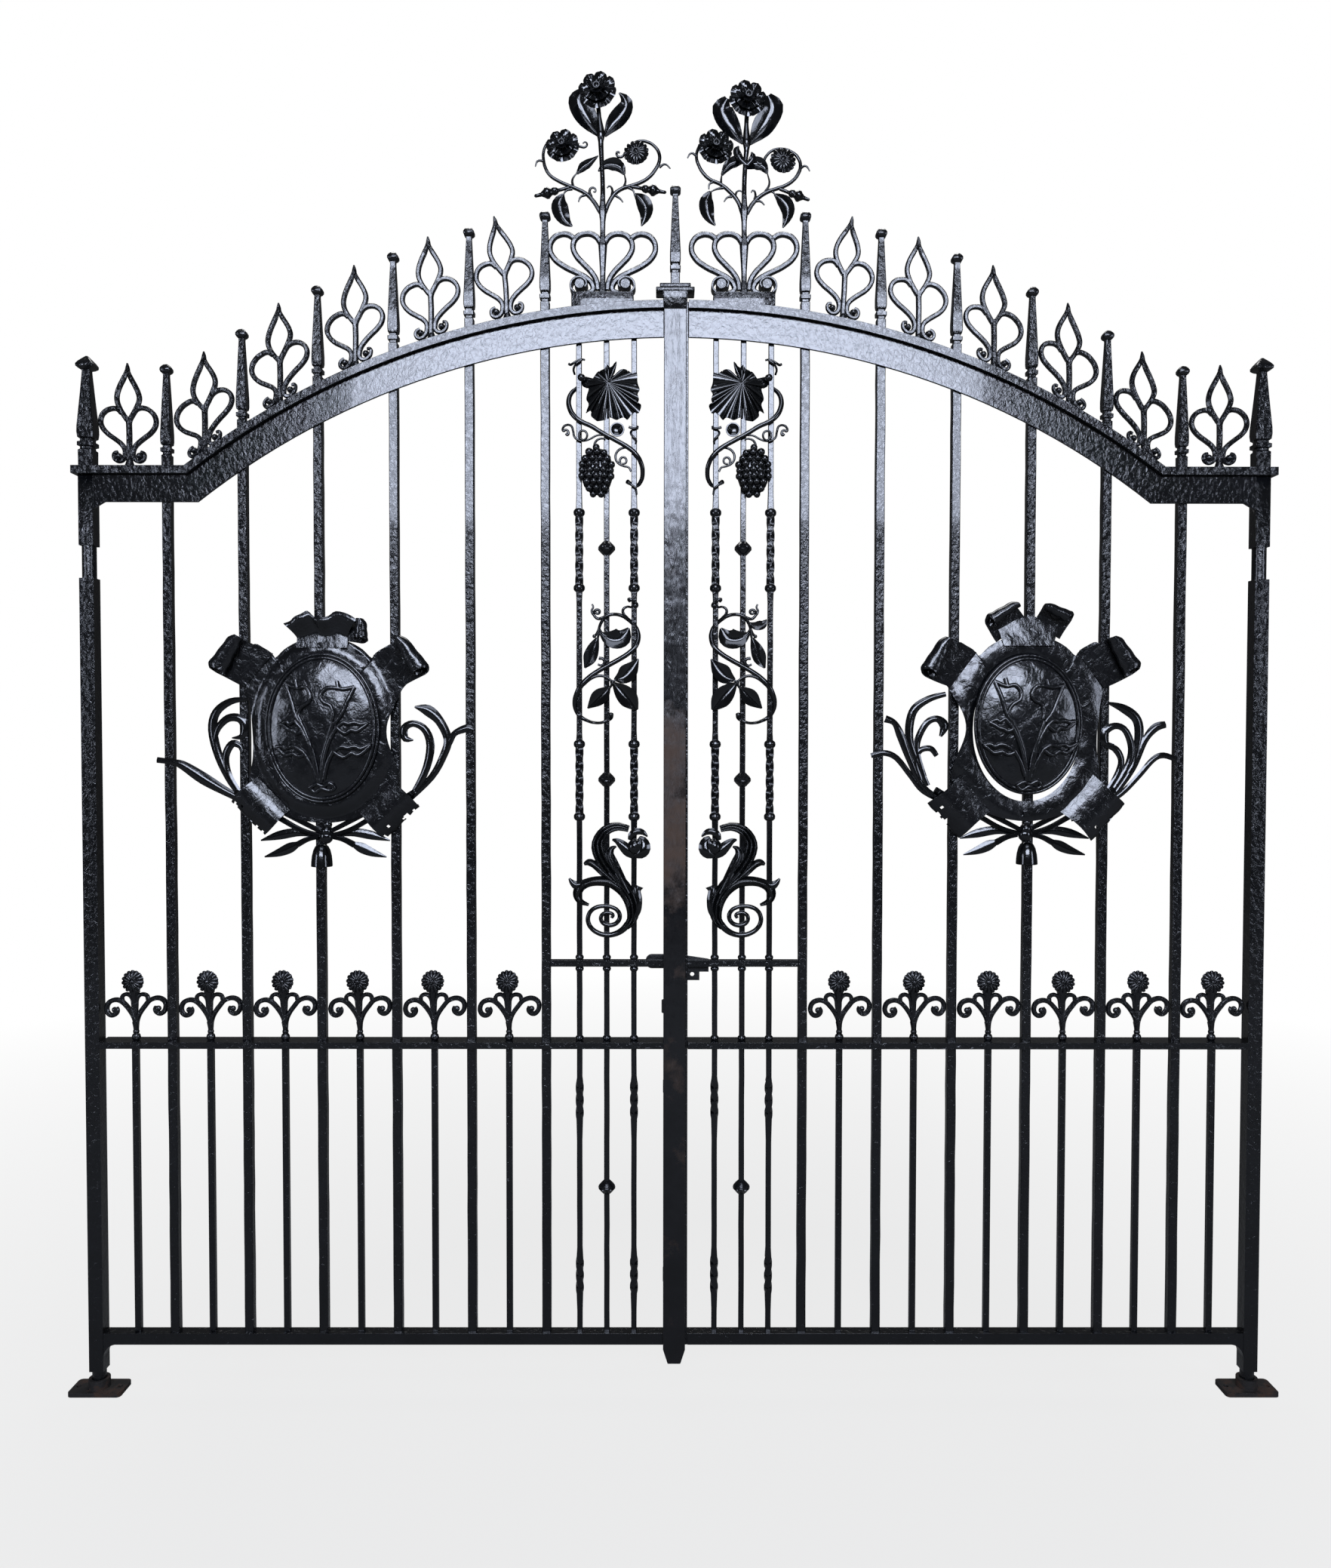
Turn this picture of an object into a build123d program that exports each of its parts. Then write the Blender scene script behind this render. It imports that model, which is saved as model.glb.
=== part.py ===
from build123d import *
import os
from math import cos, pi, radians, sin, sqrt

# A pair of wrought iron driveway gate leaves, closed, standing on two pivot shoes.
# Millimetres, +Z up, X along the closed leaves, -Y is the face with the cover bar.
# The origin is under the left shoe, on the left leaf's pivot axis.

os.makedirs("parts", exist_ok=True)

# ---- overall sizes ----
pivot_span = 3260.0         # between the two pivot axes
rail_clearance = 140.0      # ground to the underside of the bottom rails
mid_rail_z = 984.0          # underside of the mid rail
lock_panel_height = 209.0   # mid rail to lock rail
shoulder_z = 2503.0         # underside of the top band beside the heel posts
shoulder_length = 311.0     # pivot axis to the start of the arch
arch_rise = 453.0           # underside of the top band, shoulder to crown

# ---- sections ----
heel_width = 40.0
neck_diameter = 38.0
neck_drop = 209.0           # shoulder to the bottom of the turned neck
neck_length = 90.0
pin_diameter = 38.0
pin_length = 50.0
pin_dome = 8.0
bar_width = 25.0
dog_width = 17.0
thin_width = 15.0
bottom_rail_height = 32.0
bottom_rail_depth = 38.0
flat_bar_depth = 68.0       # mid rail and cap strip are the same flat bar
mid_rail_height = 18.0
cap_height = 22.0
band_height = 76.0
band_thickness = 7.0
lock_rail_height = 18.0
lock_rail_depth = 22.0
stile_width = 25.0

# ---- spacing, from the middle of the gate ----
bar_count = 6
innermost_bar = 360.0
wide_bay_extra = 10.0       # the bay beside the heel post is this much wider
thin_count = 3
thin_spacing = 76.5
innermost_thin = 113.5
outer_collars = (0.981, 0.817, 0.476, 0.316)    # parts of the way, lock rail to shoulder
middle_collars = (0.900, 0.398)
lower_collar = 0.507        # part of the way, bottom rail to mid rail
collar_diameter = 27.0
collar_height = 15.0
cap_overhang = 14.0         # of the cap strip past the outer face of a heel post

# ---- meeting of the leaves ----
stile_gap = 18.0            # between the two meeting stiles
left_stile_edge = 6.0       # from the middle to the left stile's inner face
cover_width = 62.0
cover_thickness = 10.0
cover_gap = 6.0             # cover bar to the right stile it laps
cover_drop = 47.0           # tongue below the bottom rail
cover_taper = 40.0
tongue_width = 36.0
stile_above_arch = 20.0
cap_plate_width = 106.0
cap_plate_height = 12.0

# ---- finials ----
finial_height = 285.0
heel_finial_height = 307.0
centre_finial_height = 274.0
spear_tip = 0.2             # width of the blunt tip, part of the bar's

# ---- latch bolt and its keeper, drop bolt ----
bolt_height = 40.0
bolt_thickness = 8.0
bolt_tail_radius = 18.0
bolt_travel = 45.0
bolt_tail = 81.0            # rounded tail, left of the middle
bolt_tip = 2.0              # tip at rest, left of the middle
bolt_gap = 6.0              # to the back of the right stile
guide_width = 20.0
guide_wall = 6.0
guide_clearance = 1.5
bolt_rest_gap = 0.3
keeper_clearance = 5.5
keeper_reach = 97.0
padlock_hole = 12.0
padlock_plate_thickness = 8.0
padlock_plate_drop = 18.0   # below the lock rail, and its rise above it
padlock_plate_rise = 9.0
padlock_lug_width = 34.0
padlock_lug_drop = 24.0     # below the plate
rod_diameter = 14.0
rod_offset = 18.0           # left of the middle
rod_bottom = 100.0
rod_rise = 106.0            # above the mid rail
rod_travel = 80.0
rod_knob = 36.0
rod_knob_gap = 5.0          # knob to the back of the left stile
rod_clearance = 0.8
rod_guide_rise = 148.0      # above the bottom rail
rod_guide_drop = 122.0      # below the mid rail
rod_guide_height = 26.0

# ---- pivot shoes ----
shoe_length = 150.0
shoe_depth = 80.0
shoe_corner = 12.0
shoe_floor = 12.0
cup_height = 26.0
cup_wall = 9.0
pin_clearance = 1.0
pin_rest_gap = 0.3
shoe_hole = 13.0
shoe_hole_spacing = 118.0

# ---- shields ----
shield_z = 1885.0
shield_bar = 2              # index of the bar that carries it, counted from the heel
ring_width = 426.0
ring_height = 528.0
ring_thickness = 22.0
medallion_width = 300.0
medallion_height = 400.0
medallion_rise = 24.0
reed_thickness = 10.0
lug_roll = 38.0

# ---- ornament ----
scroll_thickness = 12.0
rod_scroll = 13.0           # widths of the bent bars, seen flat
bar_scroll = 11.0
curl_scroll = 9.0
branch_scroll = 7.0
crest_place = 203.0
crest_base_width = 172.0
crest_base_rise = 35.0

centre_x = pivot_span / 2
bar_spacing = (centre_x - wide_bay_extra - innermost_bar) / bar_count
arch_half_span = centre_x - shoulder_length
arch_radius = (arch_half_span**2 + arch_rise**2) / (2 * arch_rise)
arch_centre_z = shoulder_z + arch_rise - arch_radius
neck_z = shoulder_z - neck_drop
band_radius = arch_radius + band_height
cap_radius = band_radius + cap_height
shoulder_top = shoulder_z + band_height
cap_top = shoulder_top + cap_height
pin_bottom = shoe_floor + pin_rest_gap
heel_bottom = pin_bottom + pin_length
bottom_rail_top = rail_clearance + bottom_rail_height
mid_rail_top = mid_rail_z + mid_rail_height
lock_rail_z = mid_rail_top + lock_panel_height
lock_rail_top = lock_rail_z + lock_rail_height
panel_height = shoulder_z - lock_rail_top
band_back = -bar_width / 2
band_front = band_back - band_thickness
heel_inner = centre_x - heel_width / 2
right_stile_edge = stile_gap - left_stile_edge
right_stile_front = -bottom_rail_depth / 2
cover_back = right_stile_front - cover_gap
cover_front = cover_back - cover_thickness
left_stile_outer = left_stile_edge + stile_width
right_stile_outer = right_stile_edge + stile_width
stile_outer = {"left": left_stile_outer, "right": right_stile_outer}
cap_clearance = {"left": 0.0, "right": cover_gap}
arch_crown = arch_centre_z + cap_radius
plate_z = arch_crown + stile_above_arch
sides = {"left": -1, "right": 1}


def out(side, distance):
    """X of a point this far from the middle on one side of the gate."""
    return centre_x + sides[side] * distance


def arch_z(radius, distance):
    """Height of an arch line of the top rail above a point this far from the middle."""
    return arch_centre_z + sqrt(radius**2 - distance**2)


def rail_line_z(radius, level, distance):
    """Height of a top rail line: the flat shoulder, or the arch where that is higher."""
    return max(level, arch_z(radius, distance))


def kink(radius, level):
    """Distance from the middle at which the arch meets the flat shoulder."""
    return sqrt(radius**2 - (level - arch_centre_z) ** 2)


def cap_top_z(distance):
    return rail_line_z(cap_radius, cap_top, distance)


def under_cap_z(distance):
    return rail_line_z(band_radius, shoulder_top, distance)


bar_places = [innermost_bar + bar_spacing * k for k in reversed(range(bar_count))]
bay_edges = [heel_inner] + [d + s * bar_width / 2 for d in bar_places for s in (1, -1)]
bay_places = [(bay_edges[2 * k] + bay_edges[2 * k + 1]) / 2 for k in range(bar_count)]
thin_places = [innermost_thin + thin_spacing * k for k in range(thin_count)]


def panel_z(part_of_way):
    """Height in the inner panel, as a part of the way from lock rail to shoulder."""
    return lock_rail_top + part_of_way * panel_height


def save(part, name):
    part.label = name
    export_step(part, f"parts/{name}.step")
    print(name, len(part.solids()), round(part.volume / 1000), "cm3")


def top_rail_profile(side, low, high, level, start, end):
    """Outline between two arch lines, from the middle out to a distance on the shoulder."""
    low_level, high_level = level
    low_kink = kink(low, low_level)
    high_kink = kink(high, high_level)
    middle = (start + low_kink) / 2
    high_middle = (start + high_kink) / 2
    with BuildSketch() as sketch:
        with BuildLine():
            Line((out(side, end), low_level), (out(side, low_kink), low_level))
            ThreePointArc(
                (out(side, low_kink), low_level),
                (out(side, middle), arch_z(low, middle)),
                (out(side, start), arch_z(low, start)),
            )
            Line((out(side, start), arch_z(low, start)), (out(side, start), arch_z(high, start)))
            ThreePointArc(
                (out(side, start), arch_z(high, start)),
                (out(side, high_middle), arch_z(high, high_middle)),
                (out(side, high_kink), high_level),
            )
            Line((out(side, high_kink), high_level), (out(side, end), high_level))
            Line((out(side, end), high_level), (out(side, end), low_level))
        make_face()
    return sketch.sketch


# ---- pivot shoes ----

def pivot_shoe(x):
    """Cast cup on a bolted foot, in which the heel pin turns."""
    seat = pin_diameter / 2 + pin_clearance
    with BuildPart() as shoe:
        with BuildSketch(Plane.XY):
            with Locations((x, 0)):
                RectangleRounded(shoe_length, shoe_depth, shoe_corner)
        extrude(amount=shoe_floor)
        with BuildSketch(Plane.XY.offset(shoe_floor)):
            with Locations((x, 0)):
                Circle(seat + cup_wall)
        extrude(amount=cup_height)
        with BuildSketch(Plane.XY.offset(shoe_floor)):
            with Locations((x, 0)):
                Circle(seat)
        extrude(amount=cup_height, mode=Mode.SUBTRACT)
        with Locations((x, 0, shoe_floor)):
            with GridLocations(shoe_hole_spacing, 0, 2, 1):
                Hole(shoe_hole / 2, depth=2 * shoe_floor)
    return shoe.part


save(pivot_shoe(0), "left_pivot_shoe")
save(pivot_shoe(pivot_span), "right_pivot_shoe")


# ---- finials ----

def spear(x, y, z, height, width):
    """Square spear: block, two rings, a taper up to a neck, and a faceted pyramid cap."""
    block = 0.16 * height
    ring = 0.05 * height
    ring_radius = 0.55 * width
    waist_radius = 0.42 * width
    taper_z = z + block + 2 * ring
    bulge_width = 1.14 * width
    spear_neck_z = z + 0.90 * height
    spear_neck_width = 0.55 * width
    cap_wide_z = z + 0.945 * height
    cap_width = 1.15 * width
    levels = [
        (taper_z, 2 * waist_radius),
        (taper_z + ring, bulge_width),
        (spear_neck_z, spear_neck_width),
        (cap_wide_z, cap_width),
        (z + height, spear_tip * width),
    ]
    with BuildPart() as body:
        with Locations((x, y, z + block / 2)):
            Box(width, width, block)
        with Locations((x, y, z + block + ring / 2), (x, y, z + block + 1.5 * ring)):
            Cylinder(ring_radius, 0.8 * ring)
        with Locations((x, y, z + block + ring)):
            Cylinder(waist_radius, 2 * ring)
        for (low_z, low_width), (high_z, high_width) in zip(levels, levels[1:]):
            with BuildSketch(Plane.XY.offset(low_z)):
                with Locations((x, y)):
                    Rectangle(low_width, low_width)
            with BuildSketch(Plane.XY.offset(high_z)):
                with Locations((x, y)):
                    Rectangle(high_width, high_width)
            loft()
    return body.part


# ---- heel posts ----

def heel_post(x):
    """Square post with a turned neck near the top, a pivot pin below and a spear above."""
    with BuildPart() as post:
        with Locations((x, 0, (heel_bottom + neck_z) / 2)):
            Box(heel_width, heel_width, neck_z - heel_bottom)
        with Locations((x, 0, neck_z + neck_length / 2)):
            Cylinder(neck_diameter / 2, neck_length)
        upper = neck_z + neck_length
        with Locations((x, 0, (upper + cap_top) / 2)):
            Box(heel_width, heel_width, cap_top - upper)
        add(spear(x, 0, cap_top, heel_finial_height, heel_width))
        with BuildSketch(Plane.XZ):
            with BuildLine():
                radius = pin_diameter / 2
                Polyline(
                    (x + radius, pin_bottom + pin_dome),
                    (x + radius, heel_bottom),
                    (x, heel_bottom),
                    (x, pin_bottom),
                    (x + radius - pin_dome, pin_bottom),
                )
                corner = pin_dome * sin(pi / 4)
                ThreePointArc(
                    (x + radius - pin_dome, pin_bottom),
                    (x + radius - pin_dome + corner, pin_bottom + pin_dome - corner),
                    (x + radius, pin_bottom + pin_dome),
                )
            make_face()
        revolve(axis=Axis((x, 0, 0), (0, 0, 1)))
    return post.part


# ---- bars ----

def main_bars(side):
    """Six square bars from the bottom rail up through the mid rail and the cap strip."""
    with BuildPart() as bars:
        for place in bar_places:
            x = out(side, place)
            top = cap_top_z(place + bar_width / 2)
            with Locations((x, 0, (bottom_rail_top + top) / 2)):
                Box(bar_width, bar_width, top - bottom_rail_top)
            add(spear(x, 0, top, finial_height, bar_width))
    return bars.part


def dog_bars(side):
    """Six lighter square bars between the bottom rail and the mid rail."""
    with BuildPart() as bars:
        for place in bay_places:
            with Locations((out(side, place), 0, (bottom_rail_top + mid_rail_z) / 2)):
                Box(dog_width, dog_width, mid_rail_z - bottom_rail_top)
    return bars.part


def panel_bars(side):
    """Three thin bars of the inner panel, with collars, up to the underside of the cap."""
    outer = [panel_z(part_of_way) for part_of_way in outer_collars]
    middle = [panel_z(part_of_way) for part_of_way in middle_collars]
    middle.append(bottom_rail_top + lower_collar * (mid_rail_z - bottom_rail_top))
    with BuildPart() as bars:
        for place, heights in zip(thin_places, (outer, middle, outer)):
            x = out(side, place)
            near = place - thin_width / 2
            far = place + thin_width / 2
            with BuildSketch(Plane.XZ.offset(-thin_width / 2)):
                with BuildLine():
                    Polyline(
                        (out(side, near), bottom_rail_top),
                        (out(side, near), under_cap_z(near)),
                        (out(side, far), under_cap_z(far)),
                        (out(side, far), bottom_rail_top),
                        close=True,
                    )
                make_face()
            extrude(amount=thin_width)
            for height in heights:
                with Locations((x, 0, height)):
                    Cylinder(collar_diameter / 2, collar_height)
    return bars.part


# ---- rails ----

def bottom_rail(side):
    """Rail with a gusset under its heel end."""
    end = stile_outer[side]
    gusset_width = 33.0
    gusset_drop = 40.0
    gusset_hollow = 0.3
    with BuildPart() as rail:
        with BuildSketch(Plane.XZ.offset(-bottom_rail_depth / 2)):
            with BuildLine():
                Polyline(
                    (out(side, end), rail_clearance),
                    (out(side, end), bottom_rail_top),
                    (out(side, heel_inner), bottom_rail_top),
                    (out(side, heel_inner), rail_clearance - gusset_drop),
                )
                ThreePointArc(
                    (out(side, heel_inner), rail_clearance - gusset_drop),
                    (
                        out(side, heel_inner - gusset_hollow * gusset_width),
                        rail_clearance - gusset_hollow * gusset_drop,
                    ),
                    (out(side, heel_inner - gusset_width), rail_clearance),
                )
                Line((out(side, heel_inner - gusset_width), rail_clearance), (out(side, end), rail_clearance))
            make_face()
        extrude(amount=bottom_rail_depth)
    return rail.part


def mid_rail(side):
    """Flat bar, punched for the bars that pass through it."""
    end = stile_outer[side]
    length = heel_inner - end
    with BuildPart() as rail:
        with Locations((out(side, (heel_inner + end) / 2), 0, mid_rail_z + mid_rail_height / 2)):
            Box(length, flat_bar_depth, mid_rail_height)
        for place in bar_places:
            with Locations((out(side, place), 0, mid_rail_z + mid_rail_height / 2)):
                Box(bar_width, bar_width, mid_rail_height, mode=Mode.SUBTRACT)
        for place in thin_places:
            with Locations((out(side, place), 0, mid_rail_z + mid_rail_height / 2)):
                Box(thin_width, thin_width, mid_rail_height, mode=Mode.SUBTRACT)
    return rail.part


def lock_rail(side):
    """Short rail between the inner main bar and the meeting stile, round the thin bars."""
    end = stile_outer[side]
    start = innermost_bar - bar_width / 2
    with BuildPart() as rail:
        with Locations((out(side, (start + end) / 2), 0, lock_rail_z + lock_rail_height / 2)):
            Box(start - end, lock_rail_depth, lock_rail_height)
        for place in thin_places:
            with Locations((out(side, place), 0, lock_rail_z + lock_rail_height / 2)):
                Box(thin_width, thin_width, lock_rail_height, mode=Mode.SUBTRACT)
    return rail.part


def top_band(side):
    """Deep flat band riveted across the front of the bars, with a small bracket at the heel."""
    profile = top_rail_profile(
        side, arch_radius, band_radius, (shoulder_z, shoulder_top), stile_outer[side], heel_inner
    )
    bracket_drop = 20.0
    bracket_length = 34.0
    with BuildPart() as band:
        with BuildSketch(Plane.XZ.offset(-band_back)):
            add(profile)
            with BuildLine():
                Polyline(
                    (out(side, heel_inner), shoulder_z),
                    (out(side, heel_inner), shoulder_z - bracket_drop),
                    (out(side, heel_inner - bracket_length), shoulder_z),
                    close=True,
                )
            make_face()
        extrude(amount=band_thickness)
    return band.part


def cap_strip(side):
    """Flat bar on top of the band, punched for the bars and the heel post."""
    start = cover_width / 2 + cap_clearance[side]
    end = centre_x + heel_width / 2 + cap_overhang
    profile = top_rail_profile(
        side, band_radius, cap_radius, (shoulder_top, cap_top), start, end
    )
    with BuildPart() as strip:
        with BuildSketch(Plane.XZ.offset(-flat_bar_depth / 2)):
            add(profile)
        extrude(amount=flat_bar_depth)
        for place in bar_places:
            middle = (under_cap_z(place) + cap_top_z(place)) / 2
            with Locations((out(side, place), 0, middle)):
                Box(bar_width, bar_width, 4 * cap_height, mode=Mode.SUBTRACT)
        with Locations((out(side, centre_x), 0, shoulder_top)):
            Box(heel_width, heel_width, 4 * cap_height, mode=Mode.SUBTRACT)
    return strip.part


for side in sides:
    save(heel_post(out(side, centre_x)), f"{side}_heel_post")
    save(main_bars(side), f"{side}_main_bars")
    save(dog_bars(side), f"{side}_dog_bars")
    save(panel_bars(side), f"{side}_panel_bars")
    save(bottom_rail(side), f"{side}_bottom_rail")
    save(mid_rail(side), f"{side}_mid_rail")
    save(lock_rail(side), f"{side}_lock_rail")
    save(top_band(side), f"{side}_top_band")
    save(cap_strip(side), f"{side}_cap_strip")


# ---- meeting stiles, cover bar and centre finial ----

with BuildPart() as left_stile:
    stile_back = bar_width / 2
    with Locations((
        out("left", left_stile_edge + stile_width / 2),
        (cover_back + stile_back) / 2,
        (rail_clearance + plate_z) / 2,
    )):
        Box(stile_width, stile_back - cover_back, plate_z - rail_clearance)
save(left_stile.part, "left_meeting_stile")

with BuildPart() as right_stile:
    right_stile_top = cap_top_z(right_stile_outer)
    with Locations((
        out("right", right_stile_edge + stile_width / 2),
        0,
        (rail_clearance + right_stile_top) / 2,
    )):
        Box(stile_width, bottom_rail_depth, right_stile_top - rail_clearance)
save(right_stile.part, "right_meeting_stile")

with BuildPart() as cover:
    tongue_z = rail_clearance - cover_drop
    with BuildSketch(Plane.XZ.offset(-cover_back)):
        with BuildLine():
            Polyline(
                (centre_x - tongue_width / 2, tongue_z),
                (centre_x - cover_width / 2, tongue_z + cover_taper),
                (centre_x - cover_width / 2, plate_z),
                (centre_x + cover_width / 2, plate_z),
                (centre_x + cover_width / 2, tongue_z + cover_taper),
                (centre_x + tongue_width / 2, tongue_z),
                close=True,
            )
        make_face()
    extrude(amount=cover_thickness)
save(cover.part, "cover_bar")

with BuildPart() as finial:
    plate_lip = 8.0
    plate_front = cover_front - plate_lip
    plate_back = 15.0
    upper_width = 0.8 * cap_plate_width
    upper_depth = 0.85 * (plate_back - plate_front)
    plate_middle = (plate_front + plate_back) / 2
    with Locations((centre_x, plate_middle, plate_z + cap_plate_height / 2)):
        Box(cap_plate_width, plate_back - plate_front, cap_plate_height)
    with Locations((centre_x, plate_middle, plate_z + 1.5 * cap_plate_height)):
        Box(upper_width, upper_depth, cap_plate_height)
    add(spear(centre_x, plate_middle, plate_z + 2 * cap_plate_height, centre_finial_height, bar_width))
save(finial.part, "centre_finial")


# ---- latch bolt, guide and keeper, behind the leaves ----

bolt_z = lock_rail_z + lock_rail_height / 2
bolt_front = bottom_rail_depth / 2 + bolt_gap
bolt_back = bolt_front + bolt_thickness
bolt_middle = (bolt_front + bolt_back) / 2

with BuildPart() as bolt:
    with BuildSketch(Plane.XZ.offset(-bolt_back)):
        with Locations((out("left", (bolt_tail + bolt_tip) / 2), bolt_z)):
            Rectangle(bolt_tail - bolt_tip, bolt_height)
    extrude(amount=bolt_thickness)
    tail_edges = bolt.edges().filter_by(Axis.Y).group_by(Axis.X)[0]
    fillet(tail_edges, bolt_tail_radius)
save(bolt.part, "latch_bolt")

with BuildPart() as guide:
    guide_back = bolt_back + guide_clearance + guide_wall
    guide_low = bolt_z - bolt_height / 2 - bolt_rest_gap
    guide_high = bolt_z + bolt_height / 2 + guide_clearance
    guide_x = out("left", left_stile_outer - guide_width / 2)
    with Locations((guide_x, (stile_back + guide_back) / 2, (guide_low + guide_high) / 2)):
        Box(guide_width, guide_back - stile_back, guide_high - guide_low + 2 * guide_wall)
    with Locations((guide_x, bolt_middle, (guide_low + guide_high) / 2)):
        Box(guide_width, bolt_thickness + 2 * guide_clearance, guide_high - guide_low, mode=Mode.SUBTRACT)
save(guide.part, "latch_guide")

with BuildPart() as keeper:
    keeper_half = bolt_height / 2 + keeper_clearance
    keeper_back = bolt_back + keeper_clearance
    keeper_x = out("right", right_stile_edge + stile_width / 2)
    right_stile_back = bottom_rail_depth / 2
    with Locations((keeper_x, (right_stile_back + keeper_back + guide_wall) / 2, bolt_z)):
        Box(stile_width, keeper_back + guide_wall - right_stile_back, 2 * (keeper_half + guide_wall))
    with Locations((keeper_x, (right_stile_back + keeper_back) / 2, bolt_z)):
        Box(stile_width, keeper_back - right_stile_back, 2 * keeper_half, mode=Mode.SUBTRACT)
save(keeper.part, "bolt_keeper")

with BuildPart() as padlock_plate:
    plate_low = lock_rail_z - padlock_plate_drop
    plate_high = lock_rail_top + padlock_plate_rise
    hole_x = right_stile_outer + 0.4 * padlock_lug_width
    hole_z = plate_low - 0.3 * padlock_lug_drop
    with BuildSketch(Plane.XZ.offset(-lock_rail_depth / 2 - padlock_plate_thickness)):
        with BuildLine():
            Polyline(
                (out("right", right_stile_outer), plate_low - padlock_lug_drop),
                (out("right", right_stile_outer), plate_high),
                (out("right", keeper_reach), lock_rail_top),
                (out("right", keeper_reach), plate_low),
                (out("right", right_stile_outer + padlock_lug_width), plate_low),
                (out("right", right_stile_outer + padlock_lug_width), plate_low - padlock_lug_drop),
                close=True,
            )
        make_face()
        with Locations((out("right", hole_x), hole_z)):
            Circle(padlock_hole / 2, mode=Mode.SUBTRACT)
    extrude(amount=padlock_plate_thickness)
save(padlock_plate.part, "padlock_plate")


# ---- drop bolt and its guides, behind the left stile ----

rod_x = out("left", rod_offset)
rod_top = mid_rail_top + rod_rise
rod_guide_heights = (bottom_rail_top + rod_guide_rise, mid_rail_z - rod_guide_drop)
rod_y = stile_back + rod_knob_gap + rod_knob / 2

with BuildPart() as rod:
    with Locations((rod_x, rod_y, (rod_bottom + rod_top) / 2)):
        Cylinder(rod_diameter / 2, rod_top - rod_bottom)
    with Locations((rod_x, rod_y, rod_top - rod_knob / 2)):
        Cylinder(rod_knob / 2, rod_knob)
save(rod.part, "drop_bolt")

with BuildPart() as rod_guides:
    rod_bore = rod_diameter + 2 * rod_clearance
    rod_guide_back = rod_y + rod_bore / 2 + guide_wall
    for height in rod_guide_heights:
        with Locations((rod_x, (stile_back + rod_guide_back) / 2, height)):
            Box(rod_bore + 2 * guide_wall, rod_guide_back - stile_back, rod_guide_height)
        with Locations((rod_x, rod_y, height)):
            Cylinder(rod_bore / 2, rod_guide_height, mode=Mode.SUBTRACT)
save(rod_guides.part, "drop_bolt_guides")


# ---- flat scrollwork ----

def ribbon(width, *strokes):
    """A bent bar seen flat: straight strokes have two points, curved ones three."""
    with BuildSketch() as sketch:
        for stroke in strokes:
            with BuildLine():
                if len(stroke) == 2:
                    Line(*stroke)
                else:
                    ThreePointArc(*stroke)
            trace(line_width=width)
    return sketch.sketch


def leaf(length, width, base, angle):
    """A pointed leaf from its base, turned from the X axis."""
    with BuildSketch() as sketch:
        with BuildLine():
            ThreePointArc((0, 0), (length / 2, width / 2), (length, 0))
            ThreePointArc((length, 0), (length / 2, -width / 2), (0, 0))
        make_face()
    return sketch.sketch.locate(Location((base[0], base[1], 0), (0, 0, angle)))


def turned(side, points):
    """Points drawn for the right of a stem, turned over for the left side."""
    s = sides[side]
    return [(s * u, w) for u, w in points]


# ---- trefoils on the cap strip ----

trefoil_height = 290.0
trefoil_reach = 76.0
trefoil_root = 70.0         # drawn below the foot, then cut off by the cap


def trefoil(lean):
    """Ogee loop over two heart loops that end in curls, sheared up a slope."""
    join = 147.0
    ogee_reach = 34.0
    ogee_widest = 205.0
    loop_top = 168.0
    loop_widest = 134.0
    curl_place = 31.0           # of the curl's middle, both along and up
    curl_radius = 15.0

    def at(u, w):
        return (u, w + lean * u)

    with BuildSketch() as sketch:
        add(ribbon(rod_scroll, ((0, -trefoil_root), (0, join))))
        for s in (-1, 1):
            peak = (0, trefoil_height - rod_scroll / 2)
            widest = at(s * trefoil_reach, loop_widest)
            waist = at(s * 28, 70)
            add(ribbon(
                rod_scroll,
                (at(0, join), at(s * ogee_reach, ogee_widest), peak),
                (at(s * 12, 160), at(s * 52, loop_top), widest),
                (widest, at(s * 62, 97), waist),
                (waist, at(s * 15, 54), at(s * 14, 40)),
                (at(s * 14, 40), at(s * curl_place, curl_place)),
            ))
            with Locations(at(s * curl_place, curl_place)):
                Circle(curl_radius)
        Rectangle(2 * rod_scroll, 2 * curl_radius)
    return sketch.sketch


def under_cap(side, start, depth):
    """What lies below the top of the cap strip, to cut feet to its line."""
    end = centre_x + heel_width / 2 + cap_overhang
    low = (shoulder_top - trefoil_root, cap_top)
    profile = top_rail_profile(side, band_radius - trefoil_root, cap_radius, low, start, end)
    with BuildPart() as below:
        with BuildSketch(Plane.XZ.offset(-depth / 2)):
            add(profile)
        extrude(amount=depth)
    return below.part


def trefoils(side):
    """Six trefoils standing on the cap strip, cut to its line."""
    slope_reach = 60.0
    lean_share = 0.75           # of the cap's own slope
    with BuildPart() as group:
        for place in bay_places:
            drop = cap_top_z(place - slope_reach) - cap_top_z(place + slope_reach)
            slope = drop / (2 * slope_reach)
            lean = -sides[side] * lean_share * slope
            with BuildSketch(Plane.XZ.offset(-scroll_thickness / 2)):
                with Locations((out(side, place), cap_top_z(place))):
                    add(trefoil(lean))
            extrude(amount=scroll_thickness)
        add(under_cap(side, cover_width, 2 * scroll_thickness), mode=Mode.SUBTRACT)
    return group.part


# ---- daisy sprigs on the mid rail ----

daisy_rise = 172.0          # mid rail to the middle of the flower
daisy_diameter = 64.0
daisy_thickness = 20.0
sprig_clearance = 2.0       # scroll to the main bar beside it
sprig_reach = (bar_spacing - bar_width - curl_scroll) / 2 - sprig_clearance


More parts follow.
